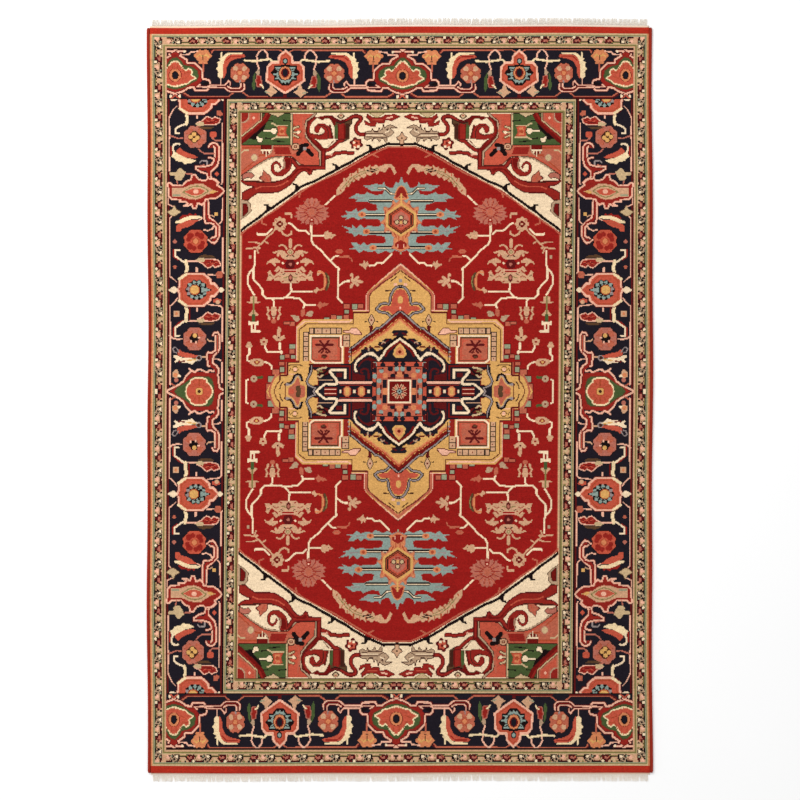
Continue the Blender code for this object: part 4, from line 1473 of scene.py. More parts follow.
class GuardDesign:
    """The two tan guards with their small flower heads."""

    def draw(self, pen: Pen, label: np.ndarray) -> None:
        """Draw both guards round the quarter.

        Args:
            pen: A free pen.
            label: The zone of each knot.
        """
        rows, columns = np.arange(ROWS)[:, None], np.arange(COLUMNS)[None, :]
        for zone, column, row, slip, side_run, end_run in (
            (Zone.OUTER_GUARD, 277, 415, 1.2, (4.7, 18.05, 0), (14.0, 19.35, 0)),
            (Zone.INNER_GUARD, 190, 335, -0.9, (6.8, 18.2, 1), (2.5, 19.2, 0)),
        ):
            every = replace(pen, clip=label == zone)
            outer = zone == Zone.OUTER_GUARD
            every.box(Y.TAN, 0, 0, 300, 442)
            side = replace(every, clip=every.clip & (rows < row + 15))
            self.run(side.moved((column, 0), (0.0, 1.0), (1.0, 0.0)), row + 13, side_run, False)
            end = replace(every, clip=every.clip & (columns < column) & (rows >= row))
            self.run(end.moved((0, row + slip)), column - 4, end_run, True)
            self.edge(every, column, row + slip, outer)

    def edge(self, pen: Pen, column: float, row: float, outer: bool) -> None:
        """Draw the lines along both edges of a guard.

        Args:
            pen: A pen that keeps to the guard.
            column: The guard's inner edge on the side.
            row: Its inner edge at the end.
            outer: Whether it is the outer guard.
        """
        lines = [
            (0.7, Y.TAN, 1.4), (2.9, Y.OLIVE, 1.5), (4.4, Y.STRAW, 1.2),
            (14.4, Y.SAGE, 1.2), (15.6, Y.OLIVE, 1.2), (16.8, Y.STRAW, 1.2),
            (18.5, Y.ORANGE if outer else Y.BLACK, 2.0),
        ]
        if outer:
            lines.append((-0.6, Y.BLACK, 1.7))
        else:
            lines.append((1.6, Y.UMBER, 0.8))
        for away, yarn, thick in lines:
            u, v = column + away, row + away
            pen.line(yarn, thick, [(u, -1), (u, v), (-1, v)])

    def run(
        self, pen: Pen, length: float, rhythm: Tuple[float, float, int], turned: bool
    ) -> None:
        """Draw the flower heads along one stretch.

        Args:
            pen: A pen whose first axis runs along the guard and second across it.
            length: How long the stretch is.
            rhythm: The first head's place, the distance between heads, and 1 if the first is dark.
            turned: Whether the stems cross to the other side.
        """
        start, pitch, parity = rhythm
        for k in range(-1, int((length - start) / pitch) + 2):
            s = start + k * pitch
            dark = (k + parity) % 2 == 1
            stem, patch = (12.7, 7.8) if dark == turned else (6.3, 11.0)
            middle = s + pitch / 2
            pen.petals(Y.BROWN, middle, patch + 0.2, 4.7, 4, 0.16, 45)
            pen.petals(Y.TAN, middle, patch, 4.2, 4, 0.14, 45)
            pen.petals(Y.PINK if dark else Y.STRAW, middle - 0.6, patch, 2.4, 3, 0.3, 40 * k)
            pen.line(Y.BLACK, 2.4, [(s + 3, stem), (middle, stem + 0.5), (s + pitch - 3, stem)])
            pen.line(Y.MAROON if dark else Y.OLIVE, 1.1, [(s + 4, stem), (s + pitch - 6, stem)])
            far = 19.2 - stem
            pen.petals(Y.BLACK, middle - 2.6, far, 1.2)
            pen.petals(Y.OLIVE, middle + 3.0, far, 1.2)
            turn = 37 * (k % 4)
            if dark:
                pen.petals(Y.BLACK, s, 9.4, 6.2, 5, 0.42, turn)
                pen.petals(Y.BUFF, s + 0.4, 9.8, 4.6, 5, 0.55, turn + 20)
                pen.petals(Y.BLACK, s + 1.2, 10.2, 1.6, 3, 0.3, turn)
                pen.lines(Y.BLACK, 1.1, [(s - 4.8, 12.4), (s - 1.5, 12.4), (s - 0.4, 14)],
                          [(s + 3, 5.4), (s + 5.4, 7.2), (s + 3.4, 8.6)])
                pen.petals(Y.IVORY, s - 1.8, 7.2, 2.0, flat=0.75, rim=Y.BLACK, width=0.7)
                pen.petals(Y.SAGE, s + 4.4, 7.0, 1.1)
            else:
                pen.petals(Y.BLACK, s, 9.3, 6.0, 5, 0.42, turn)
                pen.petals(Y.MAROON, s, 9.0, 5.2, 5, 0.36, turn)
                pen.petals(Y.ROSE, s + 0.6, 8.6, 2.9, 3, 0.5, turn)
                pen.lines(Y.BLACK, 1.0, [(s - 3.6, 11), (s + 0.6, 10.6), (s + 2.6, 12.6)],
                          [(s - 2, 6.4), (s + 2.4, 7)])
                pen.petals(Y.IVORY, s - 3.2, 12.4, 1.9, flat=0.75, rim=Y.BLACK, width=0.7)
                pen.petals(Y.SALMON, s + 3.6, 7.6, 1.0)


class Cartoon:
    """The whole design, drawn once for a quarter and turned over for the other three."""

    def __init__(self) -> None:
        """Draw the quarter from the middle outwards."""
        self.quarter = np.full((ROWS, COLUMNS), int(Y.FIELD), np.uint8)
        self.zones = Zones()
        label = self.zones.label
        pen = Pen(self.quarter)
        FieldDesign().draw(replace(pen, clip=label == Zone.FIELD))
        SpandrelDesign().draw(replace(pen, clip=label == Zone.SPANDREL))
        medallion = MedallionDesign()
        medallion.outside(replace(pen, clip=label == Zone.FIELD))
        medallion.outside(replace(pen, clip=label == Zone.MEDALLION))
        medallion.draw(replace(pen, clip=label == Zone.MEDALLION))
        BorderDesign().draw(replace(pen, clip=label == Zone.MAIN_BORDER))
        GuardDesign().draw(pen, label)
        pen.box(Y.BAND, 0, 434, 300, 442)

    def knot(self, columns: np.ndarray, rows: np.ndarray) -> np.ndarray:
        """Give the yarn of knots counted from the rug's own middle.

        Args:
            columns: Across, from -300 to 299.
            rows: Along, from -442 to 441.

        Returns:
            The yarn numbers.
        """
        across = np.where(columns >= 0, columns, -1 - columns)
        along = np.where(rows >= 0, rows, -1 - rows)
        return self.quarter[np.clip(along, 0, ROWS - 1), np.clip(across, 0, COLUMNS - 1)]


def woven(x: np.ndarray, y: np.ndarray) -> Tuple[np.ndarray, np.ndarray]:
    """Move a place on an even loom to where the weaver's beat put it.

    Args:
        x: Across, in metres.
        y: Along, in metres.

    Returns:
        The place on the finished rug.
    """
    along = y / HALF_LENGTH
    beat = BEAT_DRIFT * (1 - along ** 2)
    slack = SLACK_ROWS * np.exp(-((y / SLACK_REACH) ** 6))
    fade = 1 - np.abs(x / GUARD_OUT_X) ** 3
    return x + (LEAN_OFFSET + LEAN * along) * fade, y + beat - slack


def hash_noise(a: np.ndarray, b: np.ndarray, seed: float = 0.0) -> np.ndarray:
    """Give a steady number from 0 to 1 for each knot."""
    n = np.sin(a * 12.9898 + b * 78.233 + seed * 37.719) * 43758.5453
    return n - np.floor(n)


def swell(x: np.ndarray, y: np.ndarray) -> np.ndarray:
    """Give the slow unevenness of a rug on a floor, from -1 to 1."""
    return (
        0.45 * np.sin(3.1 * x + 1.9 * y + 0.4)
        + 0.30 * np.sin(-4.6 * x + 5.3 * y + 2.1)
        + 0.25 * np.sin(9.0 * x + 7.4 * y + 1.0)
    )


def wander(x: np.ndarray, y: np.ndarray) -> Tuple[np.ndarray, np.ndarray]:
    """Let the rug's outer edges wander by a few millimetres, fading towards the middle.

    Args:
        x: Across, in metres.
        y: Along, in metres.

    Returns:
        The place with the edge's small waves in it.
    """
    side = np.clip((np.abs(x) - 0.72) / 0.18, 0, 1) ** 2
    end = np.clip((np.abs(y) - 1.20) / 0.15, 0, 1) ** 2
    dx = side * (SIDE_WAVES[0] * np.sin(3.3 * y + 0.6) + SIDE_WAVES[1] * np.sin(9.1 * y + x))
    dy = end * (END_WAVES[0] * np.sin(3.0 * x + 0.5) + END_WAVES[1] * np.sin(11.0 * x + y))
    return x + dx, y + dy * np.where(y > 0, 1.0, 0.6)


def to_linear(colour: Sequence[float]) -> Tuple[float, float, float]:
    """Turn a colour of 0 to 255 into linear light."""
    return tuple(
        c / 255 / 12.92 if c / 255 <= 0.04045 else ((c / 255 + 0.055) / 1.055) ** 2.4
        for c in colour
    )


class Sock:
    """A shader socket that works in sums, so that a mask is written as an expression."""

    def __init__(self, sheet: "Sheet", link: Any) -> None:
        """Keep the socket and the material that it is in."""
        self.sheet = sheet
        self.link = link

    def math(self, kind: str, *others: Union["Sock", float], clamp: bool = False) -> "Sock":
        """Add a Math node of this kind that starts from this socket."""
        made = self.sheet.add(
            "ShaderNodeMath", {"operation": kind, "use_clamp": clamp},
            {i: v for i, v in enumerate((self, *others))},
        )
        return made

    def __add__(self, other: Union["Sock", float]) -> "Sock":
        """Give the sum."""
        return self.math("ADD", other)

    __radd__ = __add__

    def __mul__(self, other: Union["Sock", float]) -> "Sock":
        """Give the product."""
        return self.math("MULTIPLY", other)

    __rmul__ = __mul__

    def __sub__(self, other: Union["Sock", float]) -> "Sock":
        """Give the difference."""
        return self.math("SUBTRACT", other)

    def __rsub__(self, other: float) -> "Sock":
        """Give a number less this socket."""
        return self.sheet.add("ShaderNodeMath", {"operation": "SUBTRACT"}, {0: other, 1: self})

    def __truediv__(self, other: Union["Sock", float]) -> "Sock":
        """Give the quotient."""
        return self.math("DIVIDE", other)

    def __abs__(self) -> "Sock":
        """Give the size, whatever the sign."""
        return self.math("ABSOLUTE")

    def clamped(self) -> "Sock":
        """Keep the value from 0 to 1."""
        return self.math("ADD", 0.0, clamp=True)


class Sheet:
    """A material being made: adds nodes and joins them."""

    def __init__(self, name: str) -> None:
        """Start an empty material.

        Args:
            name: The material's name.
        """
        self.material = bpy.data.materials.new(name)
        self.material.use_nodes = True
        self.tree = self.material.node_tree
        self.tree.nodes.clear()

    def add(
        self, kind: str, settings: Optional[Dict[str, Any]] = None,
        inputs: Optional[Dict[Any, Any]] = None, output: Any = 0,
    ) -> Sock:
        """Add one node.

        Args:
            kind: The node's type.
            settings: What is set on the node itself; "stops" is a ramp's stops.
            inputs: Values or sockets for its inputs, by name or number.
            output: Which output to give.

        Returns:
            The output socket.
        """
        node = self.tree.nodes.new(kind)
        for key, value in (settings or {}).items():
            if key == "stops":
                ramp = node.color_ramp
                while len(ramp.elements) < len(value):
                    ramp.elements.new(0.5)
                for element, (place, colour) in zip(ramp.elements, value):
                    element.position = place
                    element.color = (*colour, 1)
            else:
                setattr(node, key, value)
        for key, value in (inputs or {}).items():
            if isinstance(value, Sock):
                self.tree.links.new(value.link, node.inputs[key])
            else:
                node.inputs[key].default_value = value
        return Sock(self, node.outputs[output])

    def place(self, scale: Tuple[float, float, float] = (1, 1, 1)) -> Sock:
        """Give the place on the piece, stretched by a scale."""
        spot = self.add("ShaderNodeTexCoord", output="Object")
        return self.add("ShaderNodeMapping", None, {"Vector": spot, "Scale": scale})

    def along(self, axis: int) -> Sock:
        """Give the distance along one axis of the piece, in metres."""
        return self.add("ShaderNodeSeparateXYZ", None, {"Vector": self.place()}, axis)

    def noise(self, scale: float, stretch: Tuple[float, float, float] = (1, 1, 1),
              detail: float = 2.0) -> Sock:
        """Give a soft noise of about 0 to 1."""
        return self.add(
            "ShaderNodeTexNoise", {"noise_dimensions": "3D"},
            {"Vector": self.place(stretch), "Scale": scale, "Detail": detail}, "Fac",
        )

    def toned(self, colour: Any, value: Sock, saturation: float = 1.0) -> Sock:
        """Make a colour lighter or darker by a factor."""
        return self.add(
            "ShaderNodeHueSaturation", None,
            {"Color": colour, "Value": value, "Saturation": saturation, "Hue": 0.5}, "Color",
        )

    def finish(
        self, colour: Any, roughness: Any, normal: Optional[Sock], sheen: float,
        glow: float = 0.0,
    ) -> Any:
        """Join the shader and give the material.

        Args:
            colour: The base colour.
            roughness: The roughness.
            normal: The bumped normal, or None.
            sheen: How much the fibre ends catch the light.
            glow: How brightly the surface shines by itself.

        Returns:
            The material.
        """
        sockets = {
            "Base Color": colour, "Roughness": roughness, "Sheen Weight": sheen,
            "Sheen Roughness": 0.6, "Specular IOR Level": 0.05,
            "Emission Color": (1.0, 1.0, 1.0, 1), "Emission Strength": glow,
        }
        if normal is not None:
            sockets["Normal"] = normal
        shader = self.add("ShaderNodeBsdfPrincipled", None, sockets)
        self.add_output(shader)
        return self.material

    def add_output(self, shader: Sock) -> None:
        """Join the shader to the material's output."""
        out = self.tree.nodes.new("ShaderNodeOutputMaterial")
        self.tree.links.new(shader.link, out.inputs["Surface"])


@dataclass(frozen=True)
class PileFinish:
    """Clipped wool pile: each knot its own dye, with slow changes between dye lots.

    Attributes:
        name: The material's name.
        relief: How strongly the tufts stand out.
        lots: How much one dye lot differs from the next.
    """

    name: str
    relief: float = 0.55
    lots: float = 0.16

    def make(self) -> Any:
        """Make the material."""
        m = Sheet(self.name)
        dye = m.add("ShaderNodeAttribute", {"attribute_name": "dye"}, output="Color")
        lot = m.noise(1.0, (0.5, 7.0, 1.0), 3.0)
        patch = m.noise(4.5, detail=3.0)
        fleck = m.noise(110.0, (1.0, 1.6, 1.0), 2.0)
        tuft = m.noise(330.0, detail=2.0)
        fibre = m.noise(900.0, detail=1.0)
        value = (
            0.985 + (lot - 0.5) * self.lots + (patch - 0.5) * 0.2
            + (fleck - 0.5) * 0.55 + (tuft - 0.5) * 0.85 + (fibre - 0.5) * 0.16
        )
        colour = m.toned(dye, value)
        height = tuft * 0.7 + fibre * 0.3
        normal = m.add(
            "ShaderNodeBump", None,
            {"Height": height, "Strength": self.relief, "Distance": 0.0016}, "Normal",
        )
        return m.finish(colour, 0.90 + (tuft - 0.5) * 0.14, normal, 0.02)


@dataclass(frozen=True)
class BackFinish:
    """The underside: knot backs in the same dyes between cotton wefts."""

    name: str = "foundation_back"

    def make(self) -> Any:
        """Make the material."""
        m = Sheet(self.name)
        dye = m.add("ShaderNodeAttribute", {"attribute_name": "dye"}, output="Color")
        spot = m.place((1.0, 1.0, 1.0))
        weft = m.add(
            "ShaderNodeTexWave", {"wave_type": "BANDS", "bands_direction": "Y"},
            {"Vector": spot, "Scale": 52.0, "Distortion": 0.6, "Detail": 1.0}, "Fac",
        )
        warp = m.add(
            "ShaderNodeTexWave", {"wave_type": "BANDS", "bands_direction": "X"},
            {"Vector": spot, "Scale": 103.0, "Distortion": 0.3, "Detail": 1.0}, "Fac",
        )
        slub = m.noise(60.0, (1.0, 6.0, 1.0))
        dim = m.toned(dye, 0.80 + weft * 0.16 + warp * 0.10 + (slub - 0.5) * 0.3, 0.9)
        cotton = (*to_linear((196, 180, 152)), 1)
        share = ((0.25 - weft) * 3.0).clamped() * 0.55
        colour = m.add(
            "ShaderNodeMix", {"data_type": "RGBA", "blend_type": "MIX"},
            {0: share, 6: dim, 7: cotton}, 2,
        )
        normal = m.add(
            "ShaderNodeBump", None,
            {"Height": weft * 0.6 + warp * 0.4, "Strength": 0.6, "Distance": 0.0008}, "Normal",
        )
        return m.finish(colour, 0.9 + (slub - 0.5) * 0.1, normal, 0.03)


@dataclass(frozen=True)
class YarnFinish:
    """Plied yarn of one colour: a wrapped selvedge cord or loose warp ends.

    Attributes:
        name: The material's name.
        colour: The yarn's colour, 0 to 255.
        streak: How many streaks there are in a metre.
        stretch: How the streaks run along the three directions.
        change: How much the streaks change the colour.
        root: The colour where loose ends leave the weave, if it differs.
    """

    name: str
    colour: Tuple[int, int, int]
    streak: float
    stretch: Tuple[float, float, float]
    change: float = 0.35
    root: Optional[Tuple[int, int, int]] = None

    def make(self) -> Any:
        """Make the material."""
        m = Sheet(self.name)
        streak = m.noise(self.streak, self.stretch, 3.0)
        fibre = m.noise(700.0, detail=2.0)
        slow = m.noise(6.0, detail=2.0)
        base = (*to_linear(self.colour), 1)
        if self.root is not None:
            away = abs(m.along(1)) - HALF_LENGTH
            base = m.add(
                "ShaderNodeMix", {"data_type": "RGBA", "blend_type": "MIX"},
                {0: (away / Fringe.web).clamped(), 6: (*to_linear(self.root), 1), 7: base}, 2,
            )
        value = 1.0 + (streak - 0.5) * self.change + (fibre - 0.5) * 0.25 + (slow - 0.5) * 0.22
        normal = m.add(
            "ShaderNodeBump", None,
            {"Height": streak * 0.6 + fibre * 0.4, "Strength": 0.6, "Distance": 0.0008}, "Normal",
        )
        return m.finish(m.toned(base, value), 0.85 + (fibre - 0.5) * 0.2, normal, 0.06)


def sole(name: str) -> Any:
    """Rename the active object and give it, with everything else deselected."""
    made = bpy.context.object
    made.name = name
    made.data.name = name
    return made


def points_of(mesh: Any) -> np.ndarray:
    """Give a mesh's vertices, one row each."""
    flat = np.empty(len(mesh.vertices) * 3, np.float32)
    mesh.vertices.foreach_get("co", flat)
    return flat.reshape(-1, 3)


def set_points(mesh: Any, points: np.ndarray) -> None:
    """Put a mesh's vertices in their places."""
    mesh.vertices.foreach_set("co", points.astype(np.float32).ravel())
    mesh.update()


def attach(piece: Any, node: Union[str, Sequence[str]]) -> Any:
    """Let a piece stand for its frame nodes.

    Args:
        piece: The finished piece.
        node: The nodes it replaces.

    Returns:
        The piece.
    """
    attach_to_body(piece, "root")
    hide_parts(*([node] if isinstance(node, str) else node))
    log.info("%s: %d faces", piece.name, len(piece.data.polygons))
    return piece


@dataclass
class Patch:
    """A rectangle of knots that a mesh grid is laid over.

    Attributes:
        left: Its first column, from the rug's middle.
        low: Its first row.
        right: One past its last column.
        high: One past its last row.
        step: How many knots a face has on each side.
    """

    left: int
    low: int
    right: int
    high: int
    step: int = 1

    def grid(self, name: str) -> Tuple[Any, np.ndarray, np.ndarray]:
        """Lay a grid with one face for each knot or block of knots.

        Args:
            name: The new object's name.

        Returns:
            The object and each face's middle column and row.
        """
        across = math.ceil((self.right - self.left) / self.step)
        along = math.ceil((self.high - self.low) / self.step)
        bpy.ops.object.select_all(action="DESELECT")
        bpy.ops.mesh.primitive_grid_add(x_subdivisions=across, y_subdivisions=along, size=2)
        piece = sole(name)
        p = points_of(piece.data)
        p[:, 0] = self.left + (p[:, 0] + 1) / 2 * (self.right - self.left)
        p[:, 1] = self.low + (p[:, 1] + 1) / 2 * (self.high - self.low)
        set_points(piece.data, p)
        middle = np.empty(len(piece.data.polygons) * 3, np.float32)
        piece.data.polygons.foreach_get("center", middle)
        middle = middle.reshape(-1, 3)
        return piece, np.floor(middle[:, 0]).astype(int), np.floor(middle[:, 1]).astype(int)


class PilePiece:
    """One zone of the pile: a tuft for each knot, standing on the foundation."""

    def __init__(self, cartoon: Cartoon, material: Any) -> None:
        """Keep the design and the finish that every zone shares.

        Args:
            cartoon: The design.
            material: The pile's material.
        """
        self.cartoon = cartoon
        self.material = material

    def build(self, node: str, patch: Patch, keep: Callable[..., np.ndarray], slot: str) -> Any:
        """Build one zone.

        Args:
            node: The frame node that it stands for.
            patch: The knots it lies within.
            keep: Tells from columns and rows which knots are in the zone.
            slot: Not used.

        Returns:
            The piece.
        """
        piece, columns, rows = patch.grid(node + "_pile")
        mesh = piece.data
        held = keep(columns, rows)
        yarn = self.cartoon.knot(columns, rows)
        self.lay_map(mesh, patch, rows)
        self.dye(mesh, yarn, columns, rows)
        if not held.all():
            mesh.polygons.foreach_set("select", ~held)
            bpy.ops.object.mode_set(mode="EDIT")
            bpy.ops.mesh.select_mode(type="FACE")
            bpy.ops.object.mode_set(mode="OBJECT")
            mesh.polygons.foreach_set("select", ~held)
            bpy.ops.object.mode_set(mode="EDIT")
            bpy.ops.mesh.delete(type="FACE")
            bpy.ops.object.mode_set(mode="OBJECT")
        self.raise_pile(mesh)
        self.close_below(piece)
        mesh.materials.append(self.material)
        bpy.ops.object.mode_set(mode="OBJECT")
        bpy.ops.object.shade_smooth_by_angle(angle=math.radians(40))
        return attach(piece, node)

    @staticmethod
    def lay_map(mesh: Any, patch: Patch, rows: np.ndarray) -> None:
        """Fill the unit square with the zone's knots; a long strip is folded into rows.

        Args:
            mesh: The grid, still counted in knots.
            patch: The knots it covers.
            rows: Not used.
        """
        wide, long = patch.right - patch.left, patch.high - patch.low
        turned = wide > long
        p = points_of(mesh)
        corner = np.empty(len(mesh.loops), np.int32)
        mesh.loops.foreach_get("vertex_index", corner)
        owner = np.repeat(np.arange(len(mesh.polygons)), 4)
        middle = np.empty(len(mesh.polygons) * 3, np.float32)
        mesh.polygons.foreach_get("center", middle)
        axis, first, size, other, start, breadth = (
            (0, patch.left, wide, 1, patch.low, long) if turned
            else (1, patch.low, long, 0, patch.left, wide)
        )
        folds = max(1, round(math.sqrt(size / breadth)))
        fold = math.ceil(size / folds)
        index = np.clip((middle.reshape(-1, 3)[:, axis] - first) // fold, 0, folds - 1)[owner]
        u = 0.01 + 0.98 * (p[corner, axis] - first - index * fold) / fold
        pad = 0.04 / folds
        v = (index + 0.5 * pad + (1 - pad) * (p[corner, other] - start) / breadth) / folds
        v = 0.012 + 0.98 * v
        layer = mesh.uv_layers[0] if len(mesh.uv_layers) else mesh.uv_layers.new()
        layer.name = "OFBake"
        layer.data.foreach_set("uv", np.stack([u, v], 1).astype(np.float32).ravel())

    @staticmethod
    def dye(mesh: Any, yarn: np.ndarray, columns: np.ndarray, rows: np.ndarray) -> None:
        """Give each face its yarn's colour, with the small differences between skeins.

        Args:
            mesh: The mesh.
            yarn: Each face's yarn.
            columns: Each face's column.
            rows: Each face's row.
        """
        palette = np.array([to_linear(DYES[y]) for y in Yarn])
        colour = palette[yarn]
        skein = 1 + 0.10 * (hash_noise(np.floor(columns / 23 + rows / 57), rows // 3, 2.0) - 0.5)
        knot = 1 + 0.16 * (hash_noise(columns, rows) - 0.5)
        colour = colour * (skein * knot)[:, None]
        layer = mesh.attributes.new("dye", "FLOAT_VECTOR", "FACE")
        layer.data.foreach_set("vector", colour.astype(np.float32).ravel())

    @staticmethod
    def raise_pile(mesh: Any) -> None:
        """Move the grid from knots to metres, at the height of the clipped pile."""
        p = points_of(mesh)
        x, y = woven(p[:, 0] * KNOT_WIDTH, p[:, 1] * KNOT_LENGTH)
        x, y = wander(x, y)
        clip = 0.00035 * (hash_noise(p[:, 0], p[:, 1], 5.0) - 0.5)
        edge = np.minimum(296 - np.abs(p[:, 0]), ROWS - np.abs(p[:, 1]))
        drop = 0.0022 * np.clip(1 - edge / 2.5, 0, 1) ** 2
        z = PILE_TOP - 0.0006 + 0.0005 * swell(x, y) + clip - drop
        set_points(mesh, np.stack([x, y, z], 1))

    @staticmethod
    def close_below(piece: Any) -> None:
        """Turn the grid's edge down to the foundation and close it underneath."""
        mesh = piece.data
        bpy.ops.object.mode_set(mode="EDIT")
        bpy.ops.mesh.select_mode(type="EDGE")
        bpy.ops.mesh.select_all(action="DESELECT")
        bpy.ops.mesh.select_non_manifold(
            extend=False, use_wire=False, use_boundary=True, use_multi_face=False,
            use_non_contiguous=False, use_verts=False,
        )
        bpy.ops.mesh.extrude_region_move(TRANSFORM_OT_translate={"value": (0, 0, -0.005)})
        bpy.ops.object.mode_set(mode="OBJECT")
        chosen = np.empty(len(mesh.vertices), bool)
        mesh.vertices.foreach_get("select", chosen)
        p = points_of(mesh)
        p[chosen, 2] = PILE_BOTTOM
        set_points(mesh, p)
        bpy.ops.object.mode_set(mode="EDIT")
        bpy.ops.mesh.edge_face_add()
        bpy.ops.object.mode_set(mode="OBJECT")
        size = np.empty(len(mesh.polygons), np.int32)
        mesh.polygons.foreach_get("loop_total", size)
        start = np.empty(len(mesh.polygons), np.int32)
        mesh.polygons.foreach_get("loop_start", start)
        uv = np.empty(len(mesh.loops) * 2, np.float32)
        layer = mesh.uv_layers["OFBake"]
        layer.data.foreach_get("uv", uv)
        uv = uv.reshape(-1, 2)
        for face in np.flatnonzero(size > 4):
            part = slice(start[face], start[face] + size[face])
            angle = np.linspace(0, 2 * math.pi, size[face], endpoint=False)
            uv[part] = 0.004 + 0.003 * np.stack([np.cos(angle), np.sin(angle)], 1)
        layer.data.foreach_set("uv", uv.ravel())


class Foundation:
    """The woven cotton sheet with the knots' backs showing underneath."""

    step = 3

    def build(self, cartoon: Cartoon, material: Any) -> Any:
        """Build the sheet.

        Args:
            cartoon: The design, which shows through.
            material: The underside's material.

        Returns:
            The piece.
        """
        patch = Patch(-297, -ROWS, 297, ROWS, self.step)
        piece, columns, rows = patch.grid("foundation_cloth")
        mesh = piece.data
        PilePiece.lay_map(mesh, patch, rows)
        PilePiece.dye(mesh, cartoon.knot(columns, rows), columns, rows)
        p = points_of(mesh)
        x, y = woven(p[:, 0] * KNOT_WIDTH, np.clip(p[:, 1], -ROWS, ROWS) * KNOT_LENGTH)
        x, y = wander(x, y)
        ridge = 0.0003 * (1 + np.sin(p[:, 1] * math.pi / self.step))
        set_points(mesh, np.stack([x, y, ridge + 0 * x], 1))
        bpy.ops.object.mode_set(mode="EDIT")
        bpy.ops.mesh.select_all(action="SELECT")
        bpy.ops.mesh.flip_normals()
        bpy.ops.object.mode_set(mode="OBJECT")
        mesh.materials.append(material)
        bpy.ops.object.mode_set(mode="EDIT")
        bpy.ops.mesh.select_mode(type="EDGE")
        bpy.ops.mesh.select_all(action="DESELECT")
        bpy.ops.mesh.select_non_manifold(
            extend=False, use_wire=False, use_boundary=True, use_multi_face=False,
            use_non_contiguous=False, use_verts=False,
        )
        bpy.ops.mesh.extrude_region_move(TRANSFORM_OT_translate={"value": (0, 0, 0.002)})
        bpy.ops.object.mode_set(mode="OBJECT")
        chosen = np.empty(len(mesh.vertices), bool)
        mesh.vertices.foreach_get("select", chosen)
        p = points_of(mesh)
        p[chosen, 2] = FOUNDATION_TOP
        set_points(mesh, p)
        bpy.ops.object.mode_set(mode="EDIT")
        bpy.ops.mesh.edge_face_add()
        bpy.ops.object.mode_set(mode="OBJECT")
        return attach(piece, "foundation")


class Selvedge:
    """The wool cord overcast along each side."""

    turns = 640

    def build(self, side: int, material: Any) -> Any:
        """Build one cord.

        Args:
            side: -1 for the left, 1 for the right.
            material: Its wool.

        Returns:
            The piece.
        """
        node = "left_selvedge" if side < 0 else "right_selvedge"
        around, along = 12, self.turns * 4
        bpy.ops.object.select_all(action="DESELECT")
        bpy.ops.mesh.primitive_cylinder_add(
            vertices=around, radius=1, depth=2, end_fill_type="NGON", rotation=(0, 0, 0)
        )
        piece = sole(node + "_cord")
        bpy.ops.object.mode_set(mode="EDIT")
        bpy.ops.mesh.select_mode(type="EDGE")
        bpy.ops.mesh.select_all(action="DESELECT")
        bpy.ops.object.mode_set(mode="OBJECT")
        mesh = piece.data
        p = points_of(mesh)
        for edge in mesh.edges:
            a, b = edge.vertices
            edge.select = abs(p[a, 2] - p[b, 2]) > 1
        bpy.ops.object.mode_set(mode="EDIT")
        bpy.ops.mesh.subdivide_edgering(number_cuts=along, interpolation="LINEAR", smoothness=0)
        bpy.ops.object.mode_set(mode="OBJECT")
        p = points_of(mesh)
        reach = HALF_LENGTH * p[:, 2]
        turn = np.arctan2(p[:, 1], p[:, 0])
        wrap = 1 - 0.09 * np.abs(np.sin(math.pi * self.turns / (2 * HALF_LENGTH) * reach + turn / 2))
        tip = np.clip((HALF_LENGTH - np.abs(reach)) / 0.006, 0.35, 1) ** 0.5
        middle = side * (HALF_WIDTH - 0.006)
        x = middle + 0.0058 * wrap * tip * np.cos(turn)
        z = 0.0046 + 0.0044 * wrap * tip * np.sin(turn)
        shift, y = wander(middle + 0 * x, reach)
        set_points(mesh, np.stack([x + shift - middle, y, z], 1))
        mesh.materials.append(material)
        self.lay_map(mesh, around)
        bpy.ops.object.shade_smooth()
        return attach(piece, node)

    @staticmethod
    def lay_map(mesh: Any, around: int) -> None:
        """Fold the cord's skin into the unit square, eight lengths side by side."""
        p = points_of(mesh)
        corner = np.empty(len(mesh.loops), np.int32)
        mesh.loops.foreach_get("vertex_index", corner)
        start = np.empty(len(mesh.polygons), np.int32)
        total = np.empty(len(mesh.polygons), np.int32)
        mesh.polygons.foreach_get("loop_start", start)
        mesh.polygons.foreach_get("loop_total", total)
        owner = np.repeat(np.arange(len(total)), total)
        centre = np.empty(len(total) * 3, np.float32)
        mesh.polygons.foreach_get("center", centre)
        centre = centre.reshape(-1, 3)[owner]
        q = p[corner]
        folds = 8
        size = 2 * HALF_LENGTH / folds
        index = np.clip((centre[:, 1] + HALF_LENGTH) // size, 0, folds - 1)
        middle = float(p[:, 0].mean())
        turn = np.arctan2(q[:, 2] - 0.0046, q[:, 0] - middle)
        own = np.arctan2(centre[:, 2] - 0.0046, centre[:, 0] - middle)
        turn = own + (turn - own + math.pi) % (2 * math.pi) - math.pi
        round_ = (turn + 1.2 * math.pi) / (2.4 * math.pi)
        u = np.clip((q[:, 1] + HALF_LENGTH - index * size) / size, 0, 1)
        v = (index + 0.03 + 0.94 * np.clip(round_, 0, 1)) / folds
        layer = mesh.uv_layers[0] if len(mesh.uv_layers) else mesh.uv_layers.new()
        layer.name = "OFBake"
        uv = np.stack([0.005 + 0.99 * u, 0.005 + 0.99 * v], 1)
        layer.data.foreach_set("uv", uv.astype(np.float32).ravel())


